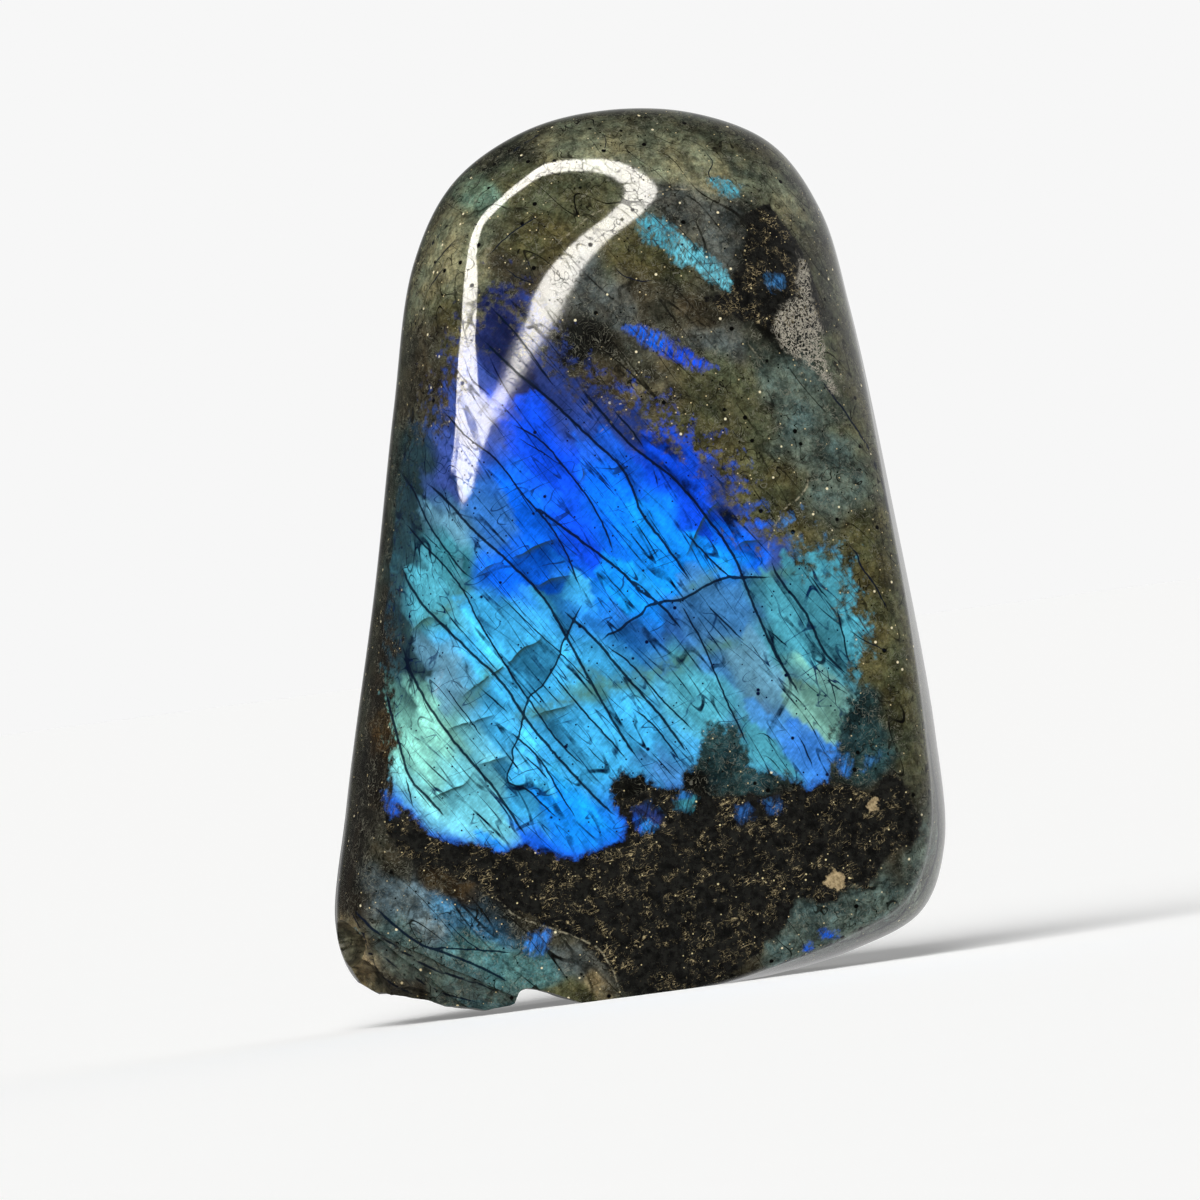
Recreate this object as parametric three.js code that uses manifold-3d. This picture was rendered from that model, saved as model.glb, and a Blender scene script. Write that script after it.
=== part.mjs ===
// A palm-sized labradorite freeform, ground and polished all over from one natural stone.
// It stands on a flat sawn base, with its domed top up and its broad polished face to the front.
// The lower left corner is broken off along the cleavage, in ledges and shell-shaped scoops.
// Millimetres, +Z up, -Y to the front, +X to the right; the origin is the centre of the footprint.
import * as THREE from "three";
import { mergeVertices } from "three/addons/utils/BufferGeometryUtils.js";
import Module from "manifold-3d";

// The overall size.
const HEIGHT = 87.9;
const HALF_WIDTH = 31;

// The outline seen from the front, as x and z, from the left edge round by the top.
const OUTLINE = [
  [-HALF_WIDTH, 9.5], // left edge, just above the broken corner
  [-28.3, 22.5],
  [-22.7, 43.5],
  [-18.5, 61],
  [-14.6, 75.2],
  [-9.6, 82.7], // left shoulder
  [-2.1, 86.8],
  [6, HEIGHT], // crown of the dome
  [15, 86.5],
  [22.4, 82.4], // right shoulder
  [26.4, 75.3],
  [28.1, 65],
  [29.7, 45.6],
  [HALF_WIDTH, 22], // right edge
  [30.4, 10.5],
  [27.3, 4.4], // lower right corner
  [20.3, 1.5],
  [10.5, -0.1],
  [-7, -0.9], // a little below the sawn base
  [-22, 0.3],
  [-29, 4],
];
const CENTRE = [1, 36];
const OUTLINE_STEPS = 1470;

// The two faces. Each is a shallow dome, measured from the plane where the outline is widest:
// its height at the crest, the crest's x and z, and its radius of curvature across and upwards.
const WIDEST_Y = 0.7;
const FRONT = { depth: 16, crest: [-7, 42], radius: [140, 230] };
const BACK = { depth: 14.6, crest: [0, 36], radius: [80, 170] };

// How each face turns into the side, by degrees anticlockwise from the right: the width of the
// rolled edge, the share of the depth that is upright wall, and that wall's lean in to its crease.
const FRONT_EDGE = [
  { at: 0, roll: 5, wall: 0.74, lean: 0.7 },
  { at: 22, roll: 8, wall: 0.6, lean: 0.5 },
  { at: 42, roll: 15, wall: 0.12, lean: 0.15 },
  { at: 60, roll: 19, wall: 0, lean: 0 },
  { at: 85, roll: 18, wall: 0, lean: 0 },
  { at: 112, roll: 16, wall: 0, lean: 0 },
  { at: 132, roll: 13, wall: 0, lean: 0 },
  { at: 158, roll: 11.5, wall: 0, lean: 0 },
  { at: 190, roll: 11, wall: 0, lean: 0 },
  { at: 212, roll: 8, wall: 0.15, lean: 0.2 },
  { at: 230, roll: 3, wall: 0.7, lean: 0.6 },
  { at: 250, roll: 2, wall: 0.9, lean: 0.4 },
  { at: 278, roll: 2, wall: 0.9, lean: 0.5 },
  { at: 292, roll: 3, wall: 0.85, lean: 1.3 },
  { at: 311, roll: 4, wall: 0.8, lean: 2 },
  { at: 333, roll: 4.5, wall: 0.78, lean: 1.3 },
];
const BACK_EDGE = [
  { at: 0, roll: 14, wall: 0, lean: 0 },
  { at: 60, roll: 15, wall: 0, lean: 0 },
  { at: 120, roll: 14, wall: 0, lean: 0 },
  { at: 180, roll: 13, wall: 0, lean: 0 },
  { at: 210, roll: 10, wall: 0.1, lean: 0.1 },
  { at: 232, roll: 4, wall: 0.7, lean: 0.4 },
  { at: 252, roll: 2.5, wall: 0.88, lean: 0.4 },
  { at: 288, roll: 2.5, wall: 0.88, lean: 0.4 },
  { at: 308, roll: 8, wall: 0.45, lean: 0.5 },
  { at: 332, roll: 14, wall: 0, lean: 0 },
];
const ROLL_POWER = 2.05;
const WALL_POWER = 1.8;

// The facets: columns round the outline, and rings up each side of it to the middle of the face.
const COLUMNS = 96;
const WALL_RINGS = 4;
const ROLL_RINGS = 8;
const FACE_RINGS = [0.16, 0.34, 0.54, 0.77];
const LOWEST_CREASE = 0.35;

// The broken underside of the lower left corner, as x and z from the end of the sawn base
// to the left edge. The dip near its start is the notch beside the broken tongue.
const BREAK_LINE = [
  [-8.3, 0],
  [-9.6, 0.7],
  [-11.7, 1.7],
  [-13.4, 2.1],
  [-14.3, 1.9],
  [-15, 0.8],
  [-17.9, 0.5],
  [-21.5, 1.4],
  [-23.3, 2.4],
  [-27.6, 3.4],
  [-29.9, 5],
  [-31.6, 9.5],
];
const BREAK_ROOM = 6;
const BREAK_SLEW = 4;

// Cleavage ledges across the front of the broken corner: a point on the ledge's edge, the heading
// of that edge below the level, and how deep the stone has split away in front of it.
const LEDGES = [
  { point: [-17.4, 3.6], heading: 32, y: -11.4, tilt: 3 },
  { point: [-21.4, 3.7], heading: 45, y: -10.4, tilt: 5 },
];
const LEDGE_SIZE = 24;

// Shell-shaped scoops in the corner: the middle of each and its half sizes.
const SCOOPS = [
  { middle: [-33.2, -7.6, 8.6], half: [5.6, 6.5, 3.1] },
  { middle: [-32.4, -9.6, 3.6], half: [6.2, 6, 4.6] },
  { middle: [-25.4, -12.4, 1.2], half: [4.6, 4.2, 3.2] },
  { middle: [-31, 3.5, 1.5], half: [6.5, 8, 4.2] },
  { middle: [-21, 10, 0.2], half: [7, 6.5, 2.4] },
];
const SCOOP_DETAIL = 4;

// Polished labradorite: grey-green body colour under a glassy finish.
const STONE = { color: "#3d4038", roughness: 0.12, metalness: 0 };

const DEGREE = Math.PI / 180;
const wasm = await Module();
wasm.setup();

function fullTurn(angle) {
  return ((angle % 360) + 360) % 360;
}

// The outline as points ordered by their direction from the centre, each with its distance.
function outlineByDirection() {
  const knots = OUTLINE.map(([x, z]) => new THREE.Vector3(x - CENTRE[0], 0, z - CENTRE[1]));
  const curve = new THREE.CatmullRomCurve3(knots, true, "centripetal");
  const points = curve.getPoints(OUTLINE_STEPS).slice(0, OUTLINE_STEPS);
  return points
    .map((p) => ({ angle: fullTurn(Math.atan2(p.z, p.x) / DEGREE), distance: Math.hypot(p.x, p.z) }))
    .sort((a, b) => a.angle - b.angle);
}

const outline = outlineByDirection();

function outlineDistance(angle) {
  const after = outline.findIndex((point) => point.angle > angle);
  const b = outline[Math.max(after, 0)];
  const a = outline.at(after < 0 ? -1 : after - 1);
  const share = fullTurn(angle - a.angle) / fullTurn(b.angle - a.angle);
  return THREE.MathUtils.lerp(a.distance, b.distance, share);
}

// A smooth closed curve through one column of an edge table, never below zero.
function edgeValue(table, key, angle) {
  const count = table.length;
  const found = table.findIndex((row) => row.at > angle);
  const next = found < 0 ? count : found;
  const row = (k) => table[(k + count) % count];
  const degrees = (k) => row(k).at + 360 * Math.floor(k / count);
  const slope = (k) => (row(k + 1)[key] - row(k - 1)[key]) / (degrees(k + 1) - degrees(k - 1));
  const span = degrees(next) - degrees(next - 1);
  const t = (angle - degrees(next - 1)) / span;
  const rest = 1 - t;
  const value =
    row(next - 1)[key] * (1 + 2 * t) * rest * rest +
    row(next)[key] * t * t * (3 - 2 * t) +
    span * t * rest * (slope(next - 1) * rest - slope(next) * t);
  return Math.max(0, value);
}

function edgeAt(table, angle) {
  return {
    roll: edgeValue(table, "roll", angle),
    wall: edgeValue(table, "wall", angle),
    lean: edgeValue(table, "lean", angle),
  };
}

// How far in from the outline the side has come when it has risen to a share of the depth.
function insetAt(edge, rise) {
  if (rise <= edge.wall) return edge.lean * (rise / edge.wall) ** WALL_POWER;
  const share = Math.min(1, (rise - edge.wall) / (1 - edge.wall));
  return edge.lean + edge.roll * (1 - (1 - share ** ROLL_POWER) ** (1 / ROLL_POWER));
}

function faceDepth(face, x, z) {
  const across = (x - face.crest[0]) ** 2 / (2 * face.radius[0]);
  const upwards = (z - face.crest[1]) ** 2 / (2 * face.radius[1]);
  return face.depth - across - upwards;
}

// The rises of the rings: even steps up the wall to its crease, then even turns over the roll.
function ringRises(edge) {
  const crease = Math.max(edge.wall, LOWEST_CREASE);
  const rises = [];
  for (let k = 1; k <= WALL_RINGS; k++) rises.push((crease * k) / WALL_RINGS);
  for (let k = 1; k <= ROLL_RINGS; k++) {
    rises.push(crease + (1 - crease) * Math.sin(((k / ROLL_RINGS) * Math.PI) / 2));
  }
  return rises;
}

function pointAt(angle, distance) {
  return [CENTRE[0] + distance * Math.cos(angle * DEGREE), CENTRE[1] + distance * Math.sin(angle * DEGREE)];
}

// One side of the stone: for each column, its points from the outline in to the middle of the face.
function sideColumn(table, face, towards, angle) {
  const edge = edgeAt(table, angle);
  const outer = outlineDistance(angle);
  const place = (inset, rise) => {
    const [x, z] = pointAt(angle, outer - inset);
    return [x, WIDEST_Y + towards * rise * faceDepth(face, x, z), z];
  };
  const points = ringRises(edge).map((rise) => place(insetAt(edge, rise), rise));
  const flat = edge.lean + edge.roll;
  for (const share of FACE_RINGS) points.push(place(flat + (outer - flat) * share, 1));
  return points;
}

// The whole rounded stone, as columns of points from the middle of the back to that of the front.
function roundedGeometry() {
  const points = [];
  let rings = 0;
  for (let column = 0; column < COLUMNS; column++) {
    const angle = (360 * column) / COLUMNS;
    const [x, z] = pointAt(angle, outlineDistance(angle));
    const back = sideColumn(BACK_EDGE, BACK, 1, angle);
    const front = sideColumn(FRONT_EDGE, FRONT, -1, angle);
    const whole = [...back.reverse(), [x, WIDEST_Y, z], ...front];
    rings = whole.length;
    points.push(...whole);
  }
  const backMiddle = points.length;
  const frontMiddle = backMiddle + 1;
  points.push([CENTRE[0], WIDEST_Y + faceDepth(BACK, ...CENTRE), CENTRE[1]]);
  points.push([CENTRE[0], WIDEST_Y - faceDepth(FRONT, ...CENTRE), CENTRE[1]]);

  const index = [];
  for (let column = 0; column < COLUMNS; column++) {
    const here = column * rings;
    const next = ((column + 1) % COLUMNS) * rings;
    for (let ring = 0; ring < rings - 1; ring++) {
      index.push(here + ring, next + ring, here + ring + 1);
      index.push(next + ring, next + ring + 1, here + ring + 1);
    }
    index.push(backMiddle, next, here);
    index.push(frontMiddle, here + rings - 1, next + rings - 1);
  }
  const geometry = new THREE.BufferGeometry();
  geometry.setAttribute("position", new THREE.Float32BufferAttribute(points.flat(), 3));
  geometry.setIndex(index);
  return geometry;
}

// All that lies below the sawn base.
function baseGeometry() {
  const room = 4 * HALF_WIDTH;
  return new THREE.BoxGeometry(room, room, room).translate(0, 0, -room / 2);
}

// What is missing below the broken line, through the whole thickness and a little slewed.
function breakGeometry() {
  const [startX] = BREAK_LINE[0];
  const [endX, endZ] = BREAK_LINE.at(-1);
  const shape = new THREE.Shape(BREAK_LINE.map(([x, z]) => new THREE.Vector2(x, z)));
  shape.lineTo(endX - BREAK_ROOM, endZ + BREAK_ROOM);
  shape.lineTo(endX - BREAK_ROOM, -BREAK_ROOM);
  shape.lineTo(startX, -BREAK_ROOM);
  shape.closePath();
  const thickness = 3 * FRONT.depth;
  return new THREE.ExtrudeGeometry(shape, { depth: thickness, bevelEnabled: false })
    .translate(0, 0, -thickness / 2)
    .rotateX(Math.PI / 2)
    .translate(-startX, 0, 0)
    .rotateZ(BREAK_SLEW * DEGREE)
    .translate(startX, 0, 0);
}

// The slab that has split away in front of a ledge, with one long edge on the ledge.
function ledgeGeometry({ point, heading, y, tilt }) {
  const half = LEDGE_SIZE / 2;
  return new THREE.BoxGeometry(2 * LEDGE_SIZE, LEDGE_SIZE, LEDGE_SIZE)
    .translate(0, -half, -half)
    .rotateX(tilt * DEGREE)
    .rotateY(heading * DEGREE)
    .translate(point[0], y, point[1]);
}

function scoopGeometry({ middle, half }) {
  return new THREE.IcosahedronGeometry(1, SCOOP_DETAIL).scale(...half).translate(...middle);
}

function solid(geometry) {
  geometry.deleteAttribute("normal");
  geometry.deleteAttribute("uv");
  const merged = mergeVertices(geometry, 1e-4);
  return new wasm.Manifold(
    new wasm.Mesh({
      numProp: 3,
      vertProperties: new Float32Array(merged.attributes.position.array),
      triVerts: new Uint32Array(merged.index.array),
    }),
  );
}

function geometryOf(manifold) {
  const mesh = manifold.getMesh();
  const geometry = new THREE.BufferGeometry();
  geometry.setAttribute("position", new THREE.BufferAttribute(mesh.vertProperties, 3));
  geometry.setIndex(new THREE.BufferAttribute(mesh.triVerts, 1));
  return geometry;
}

function stoneMesh() {
  const missing = [
    baseGeometry(),
    breakGeometry(),
    ...LEDGES.map(ledgeGeometry),
    ...SCOOPS.map(scoopGeometry),
  ];
  let body = solid(roundedGeometry());
  for (const geometry of missing) body = body.subtract(solid(geometry));
  const stone = new THREE.Mesh(geometryOf(body), new THREE.MeshStandardMaterial(STONE));
  stone.name = "stone";
  return stone;
}

const freeform = new THREE.Group();
freeform.name = "labradorite_freeform";
freeform.add(stoneMesh());

export default freeform;
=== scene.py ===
import math

import bmesh
import bpy
import numpy as np
from mathutils import Matrix, Vector, noise
from mathutils.geometry import delaunay_2d_cdt


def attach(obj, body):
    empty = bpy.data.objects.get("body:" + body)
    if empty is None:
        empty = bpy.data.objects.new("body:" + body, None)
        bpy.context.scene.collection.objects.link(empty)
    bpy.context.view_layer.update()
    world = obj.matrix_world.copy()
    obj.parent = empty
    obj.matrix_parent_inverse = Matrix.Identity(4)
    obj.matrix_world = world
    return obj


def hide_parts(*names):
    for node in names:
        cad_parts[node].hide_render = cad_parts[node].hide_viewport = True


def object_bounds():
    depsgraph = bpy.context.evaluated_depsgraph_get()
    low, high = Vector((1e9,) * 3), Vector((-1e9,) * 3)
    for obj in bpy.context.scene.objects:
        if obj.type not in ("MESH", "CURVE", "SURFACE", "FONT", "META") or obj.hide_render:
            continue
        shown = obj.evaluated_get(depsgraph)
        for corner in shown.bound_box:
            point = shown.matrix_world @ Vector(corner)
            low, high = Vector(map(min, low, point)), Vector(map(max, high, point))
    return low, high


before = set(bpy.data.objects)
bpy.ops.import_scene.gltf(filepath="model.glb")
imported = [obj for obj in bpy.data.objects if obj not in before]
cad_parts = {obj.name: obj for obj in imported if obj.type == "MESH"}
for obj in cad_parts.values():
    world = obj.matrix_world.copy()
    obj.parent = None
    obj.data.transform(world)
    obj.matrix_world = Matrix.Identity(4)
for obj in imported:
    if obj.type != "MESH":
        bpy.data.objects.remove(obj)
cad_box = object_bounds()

# The stone seen from the front, as the camera frames it: upright on its base, leaning a little
# to the left in the picture, its whole height filling three quarters of the frame.
MM = 0.001
LEAN = math.radians(7.5)
FRAME_WIDTH = 120 * MM
VIEW_CENTRE = Vector((-0.52, 0.7, 39.4)) * MM
VIEW_DISTANCE = 1.5
SENSOR = 36.0
FARTHEST_SEEN = 20


def placed(name, data):
    """A new object in the scene, at the origin."""
    made = bpy.data.objects.new(name, data)
    bpy.context.collection.objects.link(made)
    return made


right = Vector((math.cos(LEAN), 0, -math.sin(LEAN)))
up = Vector((math.sin(LEAN), 0, math.cos(LEAN)))
towards = Vector((0, -1, 0))
camera_data = bpy.data.cameras.new("camera")
camera_data.sensor_width = SENSOR
camera_data.lens = SENSOR * VIEW_DISTANCE / FRAME_WIDTH
camera_data.clip_end = FARTHEST_SEEN
camera = placed("camera", camera_data)
axes = Matrix((right, up, towards)).transposed().to_4x4()
camera.matrix_world = Matrix.Translation(VIEW_CENTRE + towards * VIEW_DISTANCE) @ axes
bpy.context.scene.camera = camera


# The rounded stone: one piece of labradorite, ground to a freeform and polished all over. It is
# two shallow domes that meet along the widest outline, where each rolls over into the side.
# Millimetres: outline knots as x and z, then how each face turns into the side by degrees.
OUTLINE = [
    (-31, 9.5), (-28.3, 22.5), (-22.7, 43.5), (-18.5, 61), (-14.6, 75.2), (-9.6, 82.7), (-2.1, 86.8),
    (6, 87.9), (15, 86.5), (22.4, 82.4), (26.4, 75.3), (28.1, 65), (29.7, 45.6), (31, 22), (30.4, 10.5),
    (27.3, 4.4), (20.3, 1.5), (10.5, -0.1), (-7, -0.9), (-22, 0.3), (-29, 4),
]
CENTRE = np.array((1.0, 36.0))
WIDEST_Y = 0.7
FRONT = {
    "side": -1, "depth": 16, "crest": (-7, 42), "radius": (140, 230),
    "edge": [  # degrees anticlockwise from the right, rolled width, share that is wall, lean of the wall
        (0, 5, 0.74, 0.7), (22, 8, 0.6, 0.5), (42, 15, 0.12, 0.15), (60, 19, 0, 0), (85, 18, 0, 0),
        (112, 16, 0, 0), (132, 13, 0, 0), (158, 11.5, 0, 0), (190, 11, 0, 0), (212, 8, 0.15, 0.2),
        (230, 3, 0.7, 0.6), (250, 2, 0.9, 0.4), (278, 2, 0.9, 0.5), (292, 3, 0.85, 1.3),
        (311, 4, 0.8, 2), (333, 4.5, 0.78, 1.3),
    ],
}
BACK = {
    "side": 1, "depth": 14.6, "crest": (0, 36), "radius": (80, 170),
    "edge": [
        (0, 14, 0, 0), (60, 15, 0, 0), (120, 14, 0, 0), (180, 13, 0, 0), (210, 10, 0.1, 0.1),
        (232, 4, 0.7, 0.4), (252, 2.5, 0.88, 0.4), (288, 2.5, 0.88, 0.4), (308, 8, 0.45, 0.5),
        (332, 14, 0, 0),
    ],
}
ROLL_POWER = 2.05
WALL_POWER = 1.8
RIM_STEPS = 70


def eased(here, leave, there, arrive, t):
    """From one value to another as t goes from 0 to 1, at these slopes at each end."""
    return (here * (2 * t**3 - 3 * t**2 + 1) + leave * (t**3 - 2 * t**2 + t)
            + there * (3 * t**2 - 2 * t**3) + arrive * (t**3 - t**2))


def closed_curve(knots, steps_per_knot):
    """A closed centripetal curve through knots that are rows of two or three numbers."""
    pieces = []
    for k in range(len(knots)):
        a, b, c, d = (knots[(k + i) % len(knots)] for i in (-1, 0, 1, 2))
        before, here, after = (math.sqrt(math.dist(p, q)) for p, q in ((a, b), (b, c), (c, d)))
        leave = ((b - a) / before - (c - a) / (before + here) + (c - b) / here) * here
        arrive = ((c - b) / here - (d - b) / (here + after) + (d - c) / after) * here
        t = np.arange(steps_per_knot)[:, None] / steps_per_knot
        pieces.append(eased(b, leave, c, arrive, t))
    return np.concatenate(pieces)


rim = closed_curve(np.array(OUTLINE, float) - CENTRE, RIM_STEPS)
rim_angles = np.degrees(np.arctan2(rim[:, 1], rim[:, 0])) % 360
rim_order = np.argsort(rim_angles)
rim_angles = rim_angles[rim_order]
rim_reach = np.hypot(*rim[rim_order].T)


def outline_reach(angles):
    return np.interp(angles % 360, rim_angles, rim_reach, period=360)


def edge_shape(face, angles):
    """Rolled width, wall share and wall lean at these angles, eased from row to row of the table."""
    table = np.array(face["edge"], float)
    at = np.concatenate([table[:, 0] - 360, table[:, 0], table[:, 0] + 360])
    rows = np.concatenate([table[:, 1:]] * 3)
    slopes = np.gradient(rows, axis=0)
    slopes[1:-1] = (rows[2:] - rows[:-2]) / (at[2:] - at[:-2])[:, None]
    k = np.clip(np.searchsorted(at, angles % 360, side="right") - 1, 0, len(at) - 2)
    span = (at[k + 1] - at[k])[:, None]
    t = ((angles % 360) - at[k])[:, None] / span
    return np.maximum(eased(rows[k], slopes[k] * span, rows[k + 1], slopes[k + 1] * span, t), 0).T


def dome(face, xz):
    crest, radius = face["crest"], face["radius"]
    across = (xz[:, 0] - crest[0]) ** 2 / (2 * radius[0])
    upwards = (xz[:, 1] - crest[1]) ** 2 / (2 * radius[1])
    return face["depth"] - across - upwards


def polar(xz):
    """Angle about the centre, and how far in from the outline, of points on the face."""
    offset = xz - CENTRE
    angles = np.degrees(np.arctan2(offset[:, 1], offset[:, 0])) % 360
    return angles, outline_reach(angles) - np.hypot(*offset.T)


def on_face(face, xz):
    """Points of the face's plan lifted on to the polished surface."""
    angles, inset = polar(xz)
    roll, wall, lean = edge_shape(face, angles)
    share = np.clip((inset - lean) / roll, 0, 1)
    rolled = wall + (1 - wall) * (1 - (1 - share) ** ROLL_POWER) ** (1 / ROLL_POWER)
    upright = wall * np.clip(inset / np.maximum(lean, 1e-6), 0, 1) ** (1 / WALL_POWER)
    rise = np.where(inset < lean, upright, rolled)
    return np.column_stack([xz[:, 0], WIDEST_Y + face["side"] * rise * dome(face, xz), xz[:, 1]])


# The cleavage cracks under the polish, drawn on a sheet laid over the front: tenths of a
# millimetre, x to the right and y down, the sheet leaning with the camera. Each has its half
# width in millimetres, and how much lighter the plate to its upper right is than the other side:
# painted light on one side of the crack and painted shade on the other.
SHEET_STEP = 0.1
SHEET_ORIGIN = (640, 1000)
SHEET_ON_STONE = (-1.778, -0.783)


def on_sheet(points):
    """Sheet points as x and z on the stone, in millimetres."""
    points = np.array(points, float).reshape(-1, 2)
    u = (points[:, 0] - SHEET_ORIGIN[0]) * SHEET_STEP
    v = (SHEET_ORIGIN[1] - points[:, 1]) * SHEET_STEP
    x = math.cos(LEAN) * u + math.sin(LEAN) * v + SHEET_ON_STONE[0]
    z = -math.sin(LEAN) * u + math.cos(LEAN) * v + SHEET_ON_STONE[1]
    return np.column_stack([x, z])


BOLD, PLAIN, HAIR = 0.3, 0.21, 0.14
CRACKS = [
    (PLAIN, 0.10, [(440, 407), (470, 440), (497, 461), (522, 493), (550, 526), (565, 550), (583, 595)]),
    (BOLD, 0.15, [(531, 504), (554, 521), (581, 541), (619, 570), (639, 590), (659, 604), (686, 635)]),
    (PLAIN, 0, [(627, 578), (639, 585), (657, 602)]),
    (PLAIN, 0.12, [(508, 424), (539, 440), (560, 463), (587, 497), (602, 523), (616, 558)]),
    (HAIR, 0, [(514, 437), (543, 454), (565, 470)]),
    (BOLD, -0.18, [(480, 338), (516, 373), (551, 402), (589, 438), (619, 466), (631, 487), (642, 515),
                   (663, 543), (694, 587)]),
    (PLAIN, 0.1, [(487, 305), (519, 339), (540, 368), (557, 392)]),
    (BOLD, -0.15, [(581, 389), (600, 412), (631, 447), (673, 480), (705, 517), (732, 556), (752, 605),
                   (773, 651), (801, 699)]),
    (PLAIN, 0.1, [(608, 406), (633, 434), (647, 455)]),
    (PLAIN, 0, [(651, 463), (656, 481), (659, 495)]),
    (BOLD, -0.15, [(424, 480), (447, 500), (474, 530), (505, 558), (542, 595), (565, 633), (588, 676),
                   (617, 726), (640, 762)]),
    (PLAIN, -0.1, [(392, 460), (414, 490), (431, 526), (462, 569), (480, 583)]),
    (PLAIN, -0.15, [(402, 518), (422, 541), (459, 582), (480, 621), (510, 670), (536, 708), (559, 740),
                    (589, 769)]),
    (HAIR, 0, [(419, 529), (439, 547), (447, 558)]),
    (BOLD, -0.12, [(401, 564), (421, 600), (462, 642), (503, 682), (530, 722), (565, 763), (601, 801),
                   (620, 817)]),
    (HAIR, 0.05, [(496, 590), (531, 625), (574, 665), (595, 690)]),
    (PLAIN, 0.08, [(547, 665), (577, 702), (611, 740), (631, 763)]),
    (BOLD, 0.1, [(560, 607), (595, 639), (627, 677), (661, 716), (690, 756)]),
    (PLAIN, -0.06, [(600, 640), (631, 664), (660, 697), (697, 734)]),
    (PLAIN, 0.06, [(505, 725), (540, 757), (562, 794), (579, 820)]),
    (PLAIN, 0, [(520, 749), (543, 771), (553, 785)]),
    (BOLD, -0.15, [(402, 639), (414, 674), (436, 713), (463, 749), (494, 785), (516, 818), (530, 838)]),
    (HAIR, 0, [(442, 680), (470, 717), (488, 743)]),
    (PLAIN, 0.06, [(476, 682), (502, 705), (514, 717)]),
    (BOLD, -0.2, [(385, 682), (398, 731), (411, 774), (431, 797), (451, 820)]),
    (PLAIN, 0, [(405, 769), (411, 789), (416, 812)]),
    (PLAIN, 0.2, [(585, 599), (575, 618), (568, 634), (562, 644), (559, 657), (545, 682), (530, 696),
                  (525, 711), (519, 737), (513, 748), (514, 759), (508, 779), (528, 788), (543, 802),
                  (562, 820)]),
    (PLAIN, 0.06, [(627, 703), (654, 725), (684, 765)]),
    (HAIR, 0, [(646, 745), (672, 774), (681, 783)]),
    (PLAIN, -0.1, [(678, 600), (700, 640), (713, 670), (727, 703), (750, 751)]),
    (PLAIN, 0, [(701, 599), (720, 619), (747, 645)]),
    (PLAIN, 0, [(761, 625), (781, 642), (792, 653)]),
    (BOLD, -0.1, [(767, 557), (779, 581), (802, 610), (822, 650), (850, 679)]),
    (PLAIN, 0, [(803, 569), (820, 592), (833, 607)]),
    (PLAIN, 0.1, [(833, 600), (840, 630), (846, 658), (851, 670)]),
    (PLAIN, 0, [(819, 675), (840, 690), (851, 696)]),
    (HAIR, 0, [(822, 660), (833, 696), (837, 713)]),
    (PLAIN, 0, [(793, 728), (808, 757), (813, 772)]),
    (HAIR, 0, [(580, 737), (601, 759), (614, 768)]),
    (PLAIN, 0.05, [(677, 525), (697, 547), (719, 569), (740, 585)]),
    (HAIR, 0, [(590, 470), (611, 492), (621, 503)]),
    (HAIR, 0, [(610, 507), (632, 517)]),
    (PLAIN, 0, [(643, 503), (650, 515), (656, 527)]),
    (HAIR, 0, [(597, 565), (619, 590), (632, 602)]),
    (HAIR, 0, [(747, 736), (764, 733), (779, 750)]),
    (HAIR, 0, [(753, 755), (767, 756), (785, 775)]),
    (HAIR, 0, [(842, 626), (862, 640), (895, 655)]),
    (PLAIN, 0, [(845, 540), (848, 547), (855, 555), (858, 565), (867, 577), (875, 590), (888, 615)]),
    (PLAIN, 0, [(425, 945), (450, 945), (480, 947), (520, 950)]),
    (HAIR, 0, [(445, 915), (467, 937), (495, 955)]),
    (PLAIN, 0.1, [(372, 945), (400, 965), (425, 980), (450, 992), (485, 1000)]),
    (BOLD, 0.12, [(352, 904), (370, 922), (392, 940), (418, 957), (440, 968), (480, 981), (508, 996)]),
    (BOLD, 0.1, [(372, 900), (396, 922), (420, 940), (452, 952), (485, 966), (515, 982)]),
    (PLAIN, -0.1, [(350, 905), (362, 925), (370, 945), (380, 970), (400, 985), (425, 997)]),
    (HAIR, 0, [(500, 265), (518, 280), (545, 290)]),
    (HAIR, 0, [(497, 168), (520, 148), (552, 128)]),
    (BOLD, 0.28, [(594, 639), (603, 639), (608, 634), (618, 630), (626, 624), (634, 618), (641, 614),
                  (646, 607), (652, 605), (663, 601), (678, 600), (690, 595), (703, 587), (716, 581),
                  (728, 577), (740, 578), (775, 577)]),
    (HAIR, 0, [(421, 262), (434, 243), (452, 224)]),
    (HAIR, 0, [(428, 276), (445, 254), (463, 236)]),
    (HAIR, 0, [(436, 226), (446, 210), (458, 200)]),
    (HAIR, 0, [(424, 300), (440, 276), (452, 262)]),
    (HAIR, 0, [(486, 262), (512, 236), (548, 214)]),
    (HAIR, 0, [(610, 262), (620, 276), (640, 284), (662, 281)]),
    (HAIR, 0, [(700, 150), (712, 163), (708, 178), (722, 190)]),
    (HAIR, 0, [(600, 128), (606, 146), (598, 160)]),
    (PLAIN, 0, [(690, 403), (700, 407), (712, 409)]),
    (HAIR, 0, [(728, 425), (735, 437), (748, 441)]),
    # These two run along the right rim; the side towards the rim is painted darker, painted shade where the
    # face turns away from the light.
    (PLAIN, -0.35, [(815, 375), (830, 395), (850, 422), (868, 452), (883, 490), (888, 520), (893, 540)]),
    (PLAIN, -0.3, [(921, 720), (927, 740), (931, 765), (937, 815), (935, 855), (920, 893), (907, 905),
                   (893, 920), (860, 935), (815, 947), (770, 965)]),
]
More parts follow.
